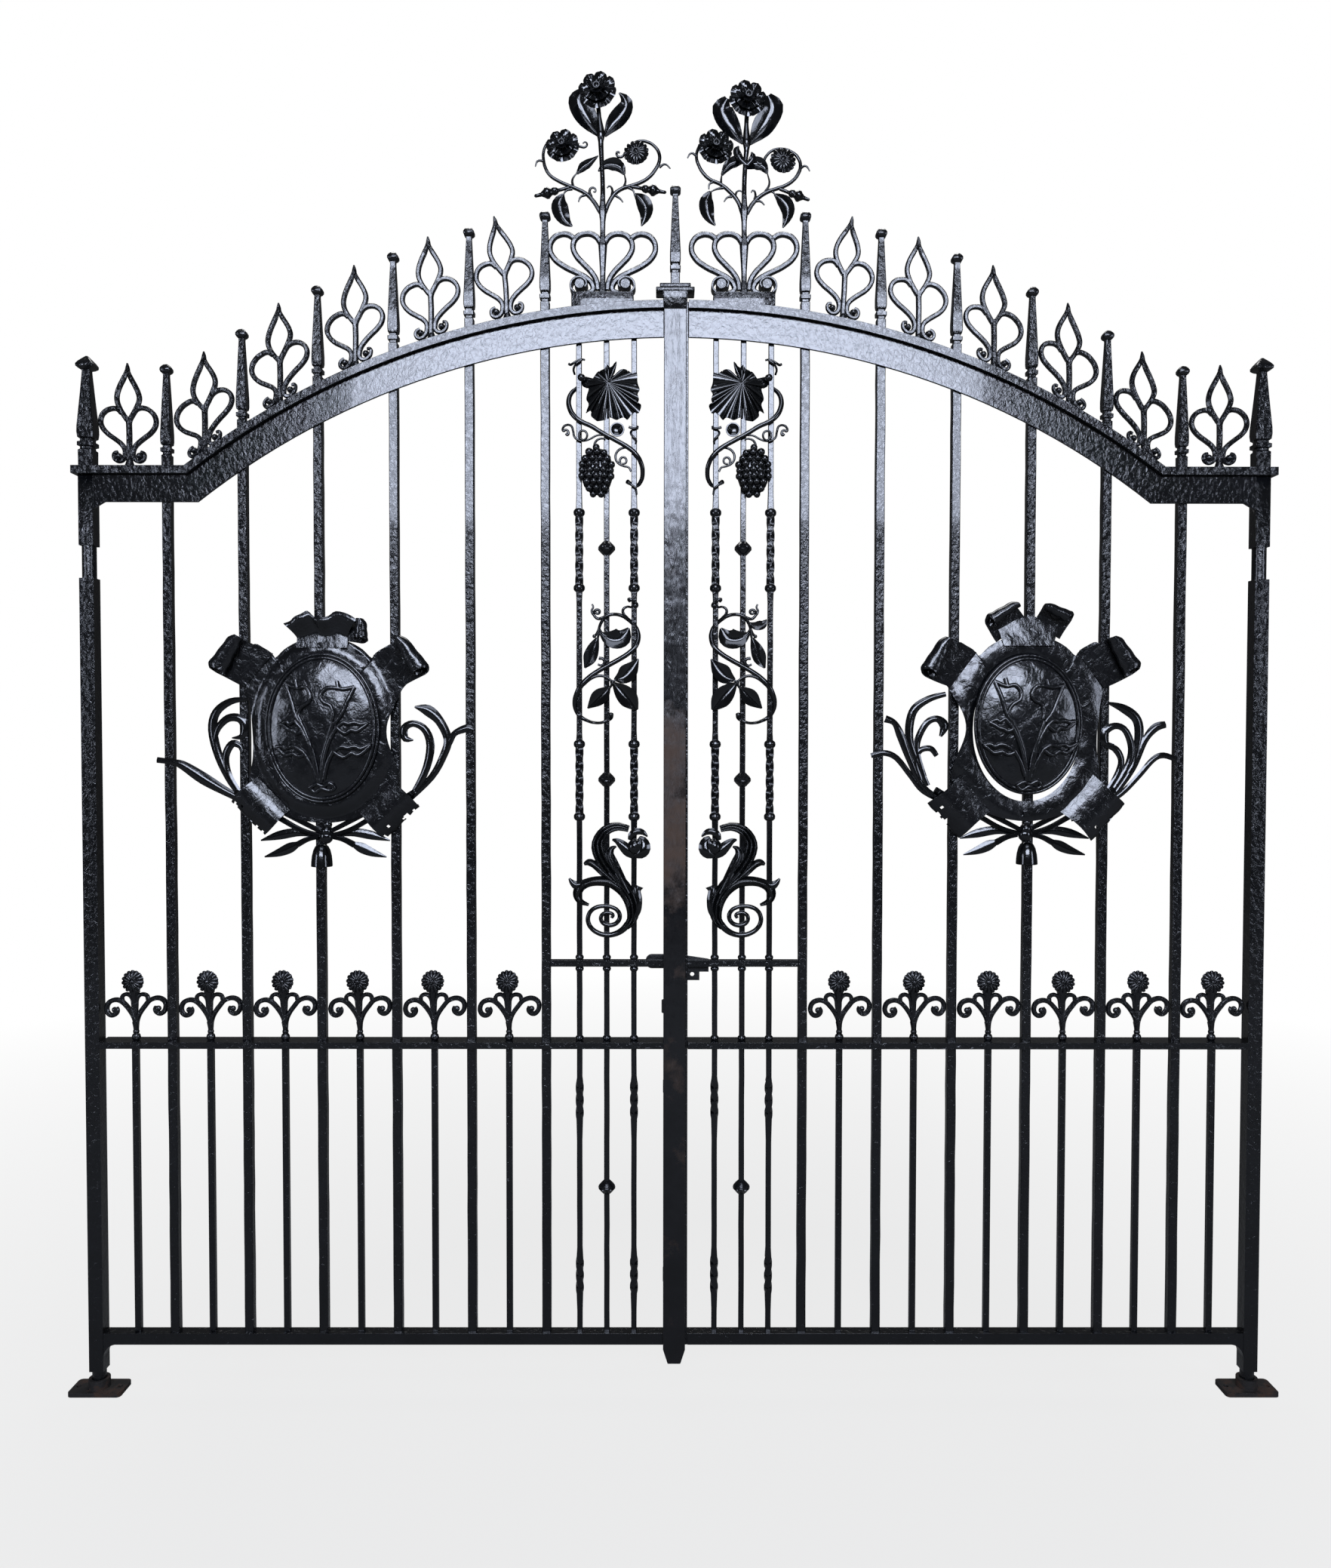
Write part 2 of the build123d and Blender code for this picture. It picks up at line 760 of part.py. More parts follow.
def daisy_sprigs(side):
    """Six flowers on short stems with a C-scroll each side, one in each bay."""
    foot_radius = 13.0
    fork = 30.0
    scroll_top = 114.0
    curl_place = (66, 84)
    curl_radius = 14.0
    with BuildPart() as group:
        for place in bay_places:
            x = out(side, place)
            with BuildSketch(Plane.XZ.offset(-scroll_thickness / 2)):
                with Locations((x, mid_rail_top)):
                    add(ribbon(bar_scroll, ((0, 0), (0, daisy_rise))))
                    with Locations((0, foot_radius)):
                        Circle(foot_radius)
                    for s in (-1, 1):
                        crown = (s * 55, scroll_top)
                        side_point = (s * sprig_reach, 90)
                        add(ribbon(
                            curl_scroll,
                            ((0, fork), (s * 17, 82), crown),
                            (crown, (s * (sprig_reach - 8), 107), side_point),
                            (side_point, (s * (sprig_reach - 6), 72), (s * curl_place[0], 72)),
                            ((s * 5, 80), (s * 34, 126), (s * 38, scroll_top)),
                        ))
                        with Locations((s * curl_place[0], curl_place[1])):
                            Circle(curl_radius)
            extrude(amount=scroll_thickness)
            with BuildSketch(Plane.XZ.offset(-scroll_thickness / 2)):
                with Locations((x, mid_rail_top + daisy_rise)):
                    Circle(daisy_diameter / 2)
            extrude(amount=daisy_thickness)
    return group.part


# ---- crest: fan scrolls on a block, then a branch of flowers ----

fan_top = 240.0             # above the block
fan_reach = 145.0
crest_flower = 108.0
double_reach = {"left": 112.0, "right": 72.0}
daisy_reach = {"left": 91.0, "right": 108.0}
top_flower_z = 313.0        # above the fan, at this distance from the stem
top_flower_place = 18.0


def crest_fan(side):
    """Block on the cap, two end volutes, four fan loops and the stem between them."""
    x = out(side, crest_place)
    block_top = arch_z(cap_radius, crest_place) + crest_base_rise
    block_depth = 48.0
    post_width = 22.0
    post_height = 112.0
    volute_radius = 20.0
    volute_place = (68, 20)
    inner_reach = 74.0
    inner_z = 150.0
    outer_reach = fan_reach - bar_scroll / 2
    with BuildPart() as fan:
        with BuildSketch(Plane.XZ.offset(-block_depth / 2)):
            with Locations((x, block_top - crest_base_rise)):
                Rectangle(crest_base_width, 2 * crest_base_rise)
        extrude(amount=block_depth)
        with BuildSketch(Plane.XZ.offset(-scroll_thickness / 2)):
            with Locations((x, block_top)):
                with Locations((0, post_height / 2)):
                    Rectangle(post_width, post_height)
                add(ribbon(curl_scroll, ((0, 0), (0, fan_top))))
                for s in (-1, 1):
                    with Locations((s * volute_place[0], volute_place[1])):
                        Circle(volute_radius)
                    inner = (s * inner_reach, inner_z)
                    outer = (s * outer_reach, 130)
                    gather = (s * 40, 30)
                    add(ribbon(
                        bar_scroll,
                        ((s * 8, 140), (s * 45, 168), inner),
                        (inner, (s * 66, 100), (s * 25, 45)),
                        (inner, (s * 105, 166), outer),
                        (outer, (s * 104, 75), gather),
                        (gather, (s * 26, 14), (s * 22, 0)),
                        ((s * 25, 45), (s * 10, 22), (s * 8, 0)),
                    ))
        extrude(amount=scroll_thickness)
        add(under_cap(side, 1, 2 * block_depth), mode=Mode.SUBTRACT)
    return fan.part


def crest_flowers(side):
    """Stem, two curling branches with a flower each, a top flower, buds and leaves."""
    x = out(side, crest_place)
    foot = arch_z(cap_radius, crest_place) + crest_base_rise + fan_top
    double_radius = 47.0
    daisy_radius = 36.0
    flower_z = 152.0
    top_leaf_z = 205.0
    branches = ((-1, double_reach[side], double_radius), (1, daisy_reach[side], daisy_radius))
    with BuildPart() as flowers:
        with BuildSketch(Plane.XZ.offset(-scroll_thickness / 2)):
            with Locations((x, foot)):
                add(ribbon(curl_scroll, ((0, 0), (0, top_flower_z))))
                for s, reach, radius in branches:
                    fork = (s * 60, 66)
                    add(ribbon(
                        branch_scroll,
                        ((0, 20), (s * 30, 52), fork),
                        (fork, (s * (reach + 20), 90), (s * (reach + 10), flower_z)),
                        ((s * 50, 62), (s * 105, 66), (s * 150, 42)),
                    ))
                    add(leaf(60, 34, (s * 180, 36), 180 if s > 0 else 0))
                    add(leaf(92, 44, (s * 92, 66), -78 if s > 0 else -102))
                    add(leaf(80, 30, (s * 6, 60), 62 if s > 0 else 118))
                    add(leaf(112, 62, (0, top_leaf_z), 48 if s > 0 else 132))
                    with Locations((s * reach, flower_z)):
                        Circle(radius)
                with Locations((sides[side] * top_flower_place, top_flower_z)):
                    Circle(crest_flower / 2)
        extrude(amount=scroll_thickness)
    return flowers.part


# ---- inner panel ornament, in front of the thin bars ----

panel_face = -thin_width / 2


def panel_ornament(side, drawing):
    """A flat piece lying on the front faces of the thin bars."""
    with BuildPart() as piece:
        with BuildSketch(Plane.XZ.offset(-panel_face)):
            with Locations((out(side, thin_places[1]), 0)):
                add(drawing)
        extrude(amount=scroll_thickness)
    return piece.part


def in_panel(side, u, z):
    """A point measured in thin bar spacings from the middle thin bar, out from the gate's middle."""
    return (sides[side] * u * thin_spacing, z)


def grapevine(side):
    """Vine leaf, an S stem and a bunch of grapes."""
    middle = panel_z(1.076)
    leaf_rise = 210.0
    leaf_radius = 1.15 * thin_spacing
    bunch_drop = 10.0
    bunch_width = 90.0
    bunch_height = 140.0
    join = in_panel(side, 0.12, middle + 94)
    bunch = in_panel(side, 0.34, middle - bunch_drop)
    with BuildSketch() as sketch:
        with Locations(in_panel(side, -0.16, middle + leaf_rise)):
            RegularPolygon(leaf_radius, 7)
        add(ribbon(
            curl_scroll,
            (in_panel(side, 0.69, middle + 241), in_panel(side, 1.35, middle + 170), join),
            (join, in_panel(side, -1.2, middle + 30), in_panel(side, -0.88, middle - 51)),
            (join, in_panel(side, 0.5, middle + 75), bunch),
        ))
        with Locations(bunch):
            Ellipse(bunch_width / 2, bunch_height / 2)
    return panel_ornament(side, sketch.sketch)


def leaf_spray(side):
    """S branch with five leaves."""
    middle = panel_z(0.652)
    leaf_length = 92.0
    leaf_width = 42.0
    leaves = (
        (0.26, 88, 173),
        (0.28, 82, -67),
        (-0.25, -49, 138),
        (-0.24, -52, 227),
        (-0.22, -54, -44),
    )
    centre = in_panel(side, -0.07, middle - 7)
    crook = in_panel(side, -0.29, middle + 136)
    with BuildSketch() as sketch:
        add(ribbon(
            curl_scroll,
            (in_panel(side, 0.26, middle - 165), in_panel(side, 1.15, middle - 115), centre),
            (centre, in_panel(side, -1.12, middle + 60), crook),
            (crook, in_panel(side, 0.13, middle + 124), in_panel(side, 0.5, middle + 160)),
            (in_panel(side, 0.13, middle + 124), in_panel(side, 0.3, middle + 75)),
            (
                in_panel(side, 0.85, middle - 63),
                in_panel(side, 0.39, middle - 34),
                in_panel(side, -0.22, middle - 56),
            ),
        ))
        for u, rise, angle in leaves:
            turn = angle if side == "right" else 180 - angle
            add(leaf(leaf_length, leaf_width, in_panel(side, u, middle + rise), turn))
    return panel_ornament(side, sketch.sketch)


def acanthus_scroll(side):
    """Leafy scroll that ends in a spiral below and a bud above."""
    middle = panel_z(0.174)
    leaf_width = 24.0
    bud_radius = 34.0
    shoulder = in_panel(side, -0.8, middle - 62)
    bend = in_panel(side, 0.37, middle + 110)
    bud = in_panel(side, -0.85, middle + 112)
    bottom = in_panel(side, 0.03, middle - 148)
    side_leaf = in_panel(side, -0.39, middle - 18)
    top = in_panel(side, 0.05, middle - 68)
    with BuildSketch() as sketch:
        add(ribbon(
            leaf_width,
            (shoulder, in_panel(side, 0.2, middle + 32), bend),
            (bend, in_panel(side, -0.33, middle + 156), bud),
            (side_leaf, in_panel(side, 0.5, middle + 3), in_panel(side, 1.08, middle - 36)),
        ))
        add(ribbon(
            bar_scroll,
            (shoulder, in_panel(side, -0.78, middle - 120), bottom),
            (bottom, in_panel(side, 0.68, middle - 105), top),
            (top, in_panel(side, -0.48, middle - 92), in_panel(side, 0.03, middle - 120)),
        ))
        with Locations(bud):
            Circle(bud_radius)
    return panel_ornament(side, sketch.sketch)


# ---- shields ----

reed_back = -bar_width / 2
ring_back = reed_back - reed_thickness
ring_front = ring_back - ring_thickness
ring_lap = 20.0             # of the medallion over the edge of the ring's opening
lug_width = 90.0
lug_length = 110.0
lug_reach = 58.0            # middle of a lug to its roll
roll_depth = 50.0


def shield_x(side):
    return out(side, bar_places[shield_bar])


def shield_opening():
    return Ellipse(
        medallion_width / 2 - ring_lap, medallion_height / 2 - ring_lap, mode=Mode.SUBTRACT
    )


def shield_ring(side):
    """Oval dished ring with four rolled lugs."""
    x = shield_x(side)
    lugs = ((-175, 215, 50), (175, 215, -50), (-75, 285, 25), (75, 285, -25))
    with BuildPart() as ring:
        with BuildSketch(Plane.XZ.offset(-ring_back)):
            with Locations((x, shield_z)):
                Ellipse(ring_width / 2, ring_height / 2)
                for u, w, angle in lugs:
                    with Locations(Location((u, w, 0), (0, 0, angle))):
                        Rectangle(lug_width, lug_length)
                shield_opening()
        extrude(amount=ring_thickness)
        for u, w, angle in lugs:
            away = radians(angle + 90)
            roll_x = x + u + lug_reach * cos(away)
            roll_z = shield_z + w + lug_reach * sin(away)
            with BuildSketch(Plane.XZ.offset(-ring_back)):
                with Locations(Location((roll_x, roll_z, 0), (0, 0, angle))):
                    Rectangle(lug_width, lug_roll)
            extrude(amount=roll_depth)
    return ring.part


def shield_medallion(side):
    """Domed oval plate over the opening of the ring."""
    with BuildPart() as medallion:
        with BuildSketch(Plane.XZ.offset(-ring_front)):
            with Locations((shield_x(side), shield_z)):
                Ellipse(medallion_width / 2, medallion_height / 2)
        with BuildSketch(Plane.XZ.offset(-ring_front + medallion_rise)):
            with Locations((shield_x(side), shield_z)):
                Ellipse(medallion_width / 3, medallion_height / 3)
        loft()
    return medallion.part


def shield_reeds(side):
    """Reed leaves and crossed stems behind the ring, tied at the bottom with a tassel."""
    reed_width = 18.0
    leaf_length = 170.0
    leaf_width = 42.0
    tie = (0, -305)
    tassel_z = -345.0
    tassel_width = 54.0
    tassel_height = 80.0
    with BuildPart() as reeds:
        with BuildSketch(Plane.XZ.offset(-reed_back)):
            with Locations((shield_x(side), shield_z)):
                for s in (-1, 1):
                    fork = (s * 180, -190)
                    add(ribbon(
                        reed_width,
                        ((0, -300), (s * 90, -265), fork),
                        (fork, (s * 290, -120), (s * 375, -60)),
                        (fork, (s * 225, -90), (s * 250, 60)),
                        ((s * 150, -215), (s * 232, -80), (s * 190, 80)),
                    ))
                    add(leaf(leaf_length, leaf_width, tie, 4 if s > 0 else 176))
                    add(leaf(leaf_length, leaf_width, tie, -16 if s > 0 else 196))
                with Locations((0, tassel_z)):
                    Rectangle(tassel_width, tassel_height)
        extrude(amount=reed_thickness)
    return reeds.part


for side in sides:
    save(trefoils(side), f"{side}_trefoils")
    save(daisy_sprigs(side), f"{side}_daisy_sprigs")
    save(crest_fan(side), f"{side}_crest_fan")
    save(crest_flowers(side), f"{side}_crest_flowers")
    save(grapevine(side), f"{side}_grapevine")
    save(leaf_spray(side), f"{side}_leaf_spray")
    save(acanthus_scroll(side), f"{side}_acanthus_scroll")
    save(shield_ring(side), f"{side}_shield_ring")
    save(shield_medallion(side), f"{side}_shield_medallion")
    save(shield_reeds(side), f"{side}_shield_reeds")
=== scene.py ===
from math import atan2, cos, pi, radians, sin, sqrt
import bpy
from mathutils import Matrix, Vector
from mathutils.bvhtree import BVHTree


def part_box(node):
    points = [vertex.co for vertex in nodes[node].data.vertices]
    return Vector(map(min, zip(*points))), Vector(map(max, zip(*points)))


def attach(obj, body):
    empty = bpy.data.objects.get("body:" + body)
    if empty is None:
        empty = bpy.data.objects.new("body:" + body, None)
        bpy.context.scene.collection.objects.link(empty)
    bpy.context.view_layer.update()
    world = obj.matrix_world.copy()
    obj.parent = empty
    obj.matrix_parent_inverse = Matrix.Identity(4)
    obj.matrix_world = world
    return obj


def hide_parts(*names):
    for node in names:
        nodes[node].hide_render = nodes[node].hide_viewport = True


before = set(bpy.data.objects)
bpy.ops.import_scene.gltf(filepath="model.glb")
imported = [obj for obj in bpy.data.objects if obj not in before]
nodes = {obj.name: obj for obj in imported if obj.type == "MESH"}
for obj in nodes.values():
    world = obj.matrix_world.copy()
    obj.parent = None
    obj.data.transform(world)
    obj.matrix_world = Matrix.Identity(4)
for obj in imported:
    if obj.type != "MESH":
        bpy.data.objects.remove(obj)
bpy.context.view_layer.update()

# A pair of wrought iron driveway gate leaves: forged bars, scrollwork, flowers and two beaten shields.
# Drawings are in millimetres seen from the front: u along, w up, and a third number towards the viewer.

mm = 0.001

gate = {
    "middle": 1630.0,  # x of the middle of the closed gate, from which the next places are measured outwards
    "innermostBar": 360.0,
    "thinBars": (113.5, 190.0, 266.5),
    "crest": 203.0,
    "barSpacing": 210.0,
    "bars": 6,
    "barHalf": 12.5,  # half the width of a main bar
}
sides = {"left": -1, "right": 1}


def deselectAll():
    if bpy.context.object is not None and bpy.context.object.mode != "OBJECT":
        bpy.ops.object.mode_set(mode="OBJECT")
    bpy.ops.object.select_all(action="DESELECT")


def takeHold(piece):
    deselectAll()
    piece.select_set(True)
    bpy.context.view_layer.objects.active = piece


def editAll(piece, *steps):
    takeHold(piece)
    bpy.ops.object.mode_set(mode="EDIT")
    bpy.ops.mesh.select_all(action="SELECT")
    for step, settings in steps:
        step(**settings)
    bpy.ops.object.mode_set(mode="OBJECT")


def settle(piece):
    takeHold(piece)
    bpy.ops.object.transform_apply(location=True, rotation=True, scale=True)


def addModifier(piece, kind, **settings):
    modifier = piece.modifiers.new(kind.title(), kind)
    for key, value in settings.items():
        setattr(modifier, key, value)
    takeHold(piece)
    bpy.ops.object.modifier_apply(modifier=modifier.name)


def smooth(piece, angle=40):
    takeHold(piece)
    bpy.ops.object.shade_smooth_by_angle(angle=radians(angle))


def joinAll(parts):
    deselectAll()
    for part in parts:
        part.select_set(True)
    bpy.context.view_layer.objects.active = parts[0]
    if len(parts) > 1:
        bpy.ops.object.join()
    return bpy.context.object


def discard(*parts):
    for part in parts:
        bpy.data.objects.remove(part, do_unlink=True)


def filled(drawn):
    # a drawn point, with the usual values for those it leaves out: how far out, thickness factor and twist
    return (*drawn, *(0.0, 0.0, 0.0, 1.0, 0.0)[len(drawn):])


def copyTo(part, place, turn=0.0, size=1.0, lean=(0.0, 0.0)):
    # a copy with its own mesh: place in the drawing, turned about the viewing line
    twin = part.copy()
    twin.data = part.data.copy()
    bpy.context.scene.collection.objects.link(twin)
    spin = Matrix.Rotation(radians(turn), 4, "Z")
    tip = Matrix.Rotation(radians(lean[0]), 4, "X") @ Matrix.Rotation(radians(lean[1]), 4, "Y")
    shift = Matrix.Translation(Vector(filled(place)[:3]) * mm)
    twin.data.transform(shift @ tip @ spin @ Matrix.Scale(size, 4))
    return twin


def standUp(piece, x, y, z):
    # the drawing plane is raised to face the viewer and set at its place on the gate, in mm
    piece.data.transform(Matrix.Translation(Vector((x, y, z)) * mm) @ Matrix.Rotation(pi / 2, 4, "X"))
    return piece


def nodeName(name):
    # leftTopBand is left_top_band in the frame
    return "".join("_" + letter.lower() if letter.isupper() else letter for letter in name)


def offered(piece, name, finish, body=None):
    # a finished piece takes the place of the node of its name; unless told, it rides on the leaf of its side
    piece.name = name
    piece.data.name = name
    piece.data.materials.clear()
    piece.data.materials.append(finish)
    for polygon in piece.data.polygons:
        polygon.material_index = 0
    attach(piece, body or nodeName(name).split("_")[0] + "_leaf")
    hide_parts(nodeName(name))


def noise1(k, seed=0.0):
    # a repeatable number between -1 and 1
    value = sin(k * 12.9898 + seed * 78.233) * 43758.5453
    return 2 * (value - int(value // 1)) - 1


# one solid made of simple shapes: a box, a roll, a bead

def boxAt(place, size, rotation=(0, 0, 0)):
    bpy.ops.mesh.primitive_cube_add(size=1, location=[v * mm for v in place], rotation=rotation)
    box = bpy.context.object
    box.scale = [v * mm for v in size]
    settle(box)
    return box


def rollAt(place, radius, long, edge, vertices, rotation=(0, 0, 0), top=1.0):
    # a short round bar with worn ends; top narrows the end that is higher in the drawing
    bpy.ops.mesh.primitive_cylinder_add(vertices=vertices, radius=radius * mm, depth=long * mm,
                                        location=[v * mm for v in place], rotation=rotation)
    roll = bpy.context.object
    settle(roll)
    if top != 1.0:
        for vertex in roll.data.vertices:
            if vertex.co.y > place[1] * mm:
                vertex.co.x *= top
                vertex.co.z *= top
    addModifier(roll, "BEVEL", width=edge * mm, segments=2, limit_method="ANGLE", angle_limit=radians(40))
    return roll


def ball(place, radius, squash=1.0, segments=12, rings=8):
    bpy.ops.mesh.primitive_uv_sphere_add(segments=segments, ring_count=rings, radius=radius * mm,
                                         location=[v * mm for v in filled(place)[:3]])
    bead = bpy.context.object
    bead.scale = (1, 1, squash)
    settle(bead)
    smooth(bead, 60)
    return bead


# bent bars, drawn as curves; each bar's section is made once and used again

profiles = {}


def barProfile(width, depth, corner):
    key = (width, depth, corner)
    if key not in profiles:
        bpy.ops.curve.primitive_bezier_curve_add()
        profile = bpy.context.object
        profile.data.splines.clear()
        spline = profile.data.splines.new("POLY")
        a, b = width / 2, depth / 2
        if corner == "round":
            corners = [(a * cos(pi * k / 6), b * sin(pi * k / 6)) for k in range(12)]
        else:
            c = corner
            corners = [(a, b - c), (a - c, b), (c - a, b), (-a, b - c),
                       (-a, c - b), (c - a, -b), (a - c, -b), (a, c - b)]
        spline.points.add(len(corners) - 1)
        for point, (x, y) in zip(spline.points, corners):
            point.co = (x * mm, y * mm, 0, 1)
        spline.use_cyclic_u = True
        profile.data.dimensions = "2D"
        profiles[key] = profile
    return profiles[key]


def bentBars(strokes, width, depth=None, corner="round", steps=5, flip=1):
    # each stroke is a list of (u, w), then if wanted how far out, a thickness factor and a twist in degrees
    profile = barProfile(width, width if depth is None else depth, corner)
    bpy.ops.curve.primitive_bezier_curve_add()
    bar = bpy.context.object
    data = bar.data
    data.dimensions = "3D"
    data.twist_mode = "Z_UP"
    data.resolution_u = steps
    data.bevel_mode = "OBJECT"
    data.bevel_object = profile
    data.use_fill_caps = True
    data.splines.clear()
    for stroke in strokes:
        spline = data.splines.new("BEZIER")
        spline.bezier_points.add(len(stroke) - 1)
        for point, drawn in zip(spline.bezier_points, stroke):
            u, w, out, thickness, twist = filled(drawn)
            point.co = (flip * u * mm, w * mm, out * mm)
            point.radius = thickness
            point.tilt = radians(twist)
            point.handle_left_type = point.handle_right_type = "AUTO"
    takeHold(bar)
    bpy.ops.object.convert(target="MESH")
    bar = bpy.context.object
    editAll(bar, (bpy.ops.mesh.normals_make_consistent, {"inside": False}))
    smooth(bar)
    return bar


def turned(rows, width, corner="round", u=0.0):
    # an upright piece given by rows of (height, thickness factor[, sideways shift, twist])
    stroke = []
    for row in rows:
        height, thickness, shift, twist = (*row, 0.0, 0.0)[:4]
        stroke.append((u + shift, height, 0.0, thickness, twist))
    return bentBars([stroke], width, corner=corner, steps=1)


def turnedAt(heights, rows, width):
    # the same small turned piece at each of these heights
    return [turned([(height + rise, thickness) for rise, thickness in rows], width) for height in heights]


def tapered(points, first=1.0, last=0.4):
    # a stroke that changes thickness evenly from its first point to its last
    count = len(points) - 1
    return [(*filled(p)[:3], first + (last - first) * k / count) for k, p in enumerate(points)]


# beaten sheet: leaves, petals, lugs

def along(points, s):
    # a smooth line through the points, by distance 0 to 1
    n = len(points) - 1
    k = min(int(s * n), n - 1)
    f = s * n - k
    p = [Vector(points[max(0, min(n, k + j))]) for j in (-1, 0, 1, 2)]
    return 0.5 * (
        2 * p[1] + (p[2] - p[0]) * f + (2 * p[0] - 5 * p[1] + 4 * p[2] - p[3]) * f**2
        + (3 * p[1] - p[0] - 3 * p[2] + p[3]) * f**3)


def tearAway(sheet, missing):
    # takes out the squares of the flat grid that missing(s, t) picks
    takeHold(sheet)
    bpy.ops.object.mode_set(mode="EDIT")
    bpy.ops.mesh.select_mode(type="FACE")
    bpy.ops.mesh.select_all(action="DESELECT")
    bpy.ops.object.mode_set(mode="OBJECT")
    for face in sheet.data.polygons:
        face.select = missing((face.center.x + 1) / 2, face.center.y)
    bpy.ops.object.mode_set(mode="EDIT")
    bpy.ops.mesh.delete(type="FACE")
    bpy.ops.mesh.select_mode(type="VERT")
    bpy.ops.object.mode_set(mode="OBJECT")


def shapedSheet(place, rows, columns, thickness, missing=None):
    # a flat grid hammered to a form: place(s along, t across from -1 to 1) gives the point in mm
    bpy.ops.mesh.primitive_grid_add(x_subdivisions=rows, y_subdivisions=columns, size=2)
    sheet = bpy.context.object
    if missing:
        tearAway(sheet, missing)
    for vertex in sheet.data.vertices:
        s = min(1.0, max(0.0, (vertex.co.x + 1) / 2))
        vertex.co = Vector(place(s, vertex.co.y)) * mm
    editAll(sheet, (bpy.ops.mesh.remove_doubles, {"threshold": 0.05 * mm}),
            (bpy.ops.mesh.normals_make_consistent, {"inside": False}))
    addModifier(sheet, "SOLIDIFY", thickness=thickness * mm, offset=0.0)
    smooth(sheet, 60)
    return sheet


beating = {
    "step": 0.02,  # how far ahead and behind a leaf's line is looked at for its direction
    "foldCurve": 1.3,  # 1 is a straight-sided trough, 2 a round one
    "rippleLag": 1.5,  # one edge ripples this much later than the other, radians
    "grooveDepth": 0.17,  # of the half width
}


def leaf(spine, widths, fold=0.25, ripple=0.0, waves=0, grooves=0, thick=1.6, rows=12, columns=6, flip=1):
    # spine: points (u, w, out); widths: half widths along it; fold lifts the edges like a trough
    points = [(flip * u, w, out) for u, w, out, *rest in map(filled, spine)]
    spread = [(w, 0.0, 0.0) for w in widths]

    def place(s, t):
        ahead, behind = min(1.0, s + beating["step"]), max(0.0, s - beating["step"])
        direction = along(points, ahead) - along(points, behind)
        across = Vector((-direction.y, direction.x, 0))
        across = across.normalized() if across.length > 0 else Vector((0, 1, 0))
        half = max(0.0, along(spread, s).x)
        lift = fold * half * abs(t) ** beating["foldCurve"]
        lift += ripple * sin(2 * pi * waves * s + (beating["rippleLag"] if t > 0 else 0)) * abs(t) ** 2
        if grooves:
            lift += beating["grooveDepth"] * half * cos(pi * grooves * t)
        return along(points, s) + across * half * t + Vector((0, 0, lift))

    return shapedSheet(place, rows, columns, thick)


def veined(spine, widths, rib=3.0, flip=1, **form):
    # a leaf and the rib down its middle
    blade = leaf(spine, widths, flip=flip, **form)
    line = [(u, w, out + 0.9, thickness) for u, w, out, thickness in tapered(spine)]
    return [blade, bentBars([line], rib, steps=4, corner=0.22 * rib, flip=flip)]


def srgb(hexCode):
    channels = [int(hexCode[k:k + 2], 16) / 255 for k in (1, 3, 5)]
    return tuple(c / 12.92 if c <= 0.04045 else ((c + 0.055) / 1.055) ** 2.4 for c in channels) + (1.0,)


def addNode(tree, kind, values=None, links=None, **settings):
    # one node with its plain values by input, its links as {input: (node, output)} and its settings
    node = tree.nodes.new("ShaderNode" + kind)
    for key, value in settings.items():
        setattr(node, key, value)
    for key, value in (values or {}).items():
        node.inputs[key].default_value = value
    for key, (source, output) in (links or {}).items():
        tree.links.new(source.outputs[output], node.inputs[key])
    return node


# gloss black enamel brushed over pitted forged bars: near black, with bright glints off a crinkled skin;
# the pits are a few millimetres wide and are drawn at 13 mm, as coarse as they need to be to show
enamel = {
    "paint": "#060709",
    "dust": "#0e0f12",
    "dustFrom": 0.42,  # over this much of the patch pattern the paint turns to dust, up to dustTo
    "dustTo": 0.72,
    "rust": "#2a1c14",
    "rustFrom": 0.80,
    "rustFade": 0.1,
    "rustRoughness": 0.45,  # added where the iron shows
    "waveSize": 34.0,  # mm, as pitSize and patchSize are
    "waveDepth": 0.08,  # of waveSize
    "waveStrength": 0.6,
    "pitSize": 13.0,
    "pitDepth": 0.2,  # of pitSize
    "pitStrength": 1.0,
    "drawnOut": 0.9,  # below 1 the pits are longer up the bar than across it
    "patchSize": 120.0,
    "gloss": 0.10,
    "glossSpread": 0.14,
    "coat": 0.48,
    "coatRoughness": 0.06,
    "handled": None,  # the heights in metres between which hands have rubbed the paint thin
    "handledFade": 0.12,
    "handledMost": 0.3,
}


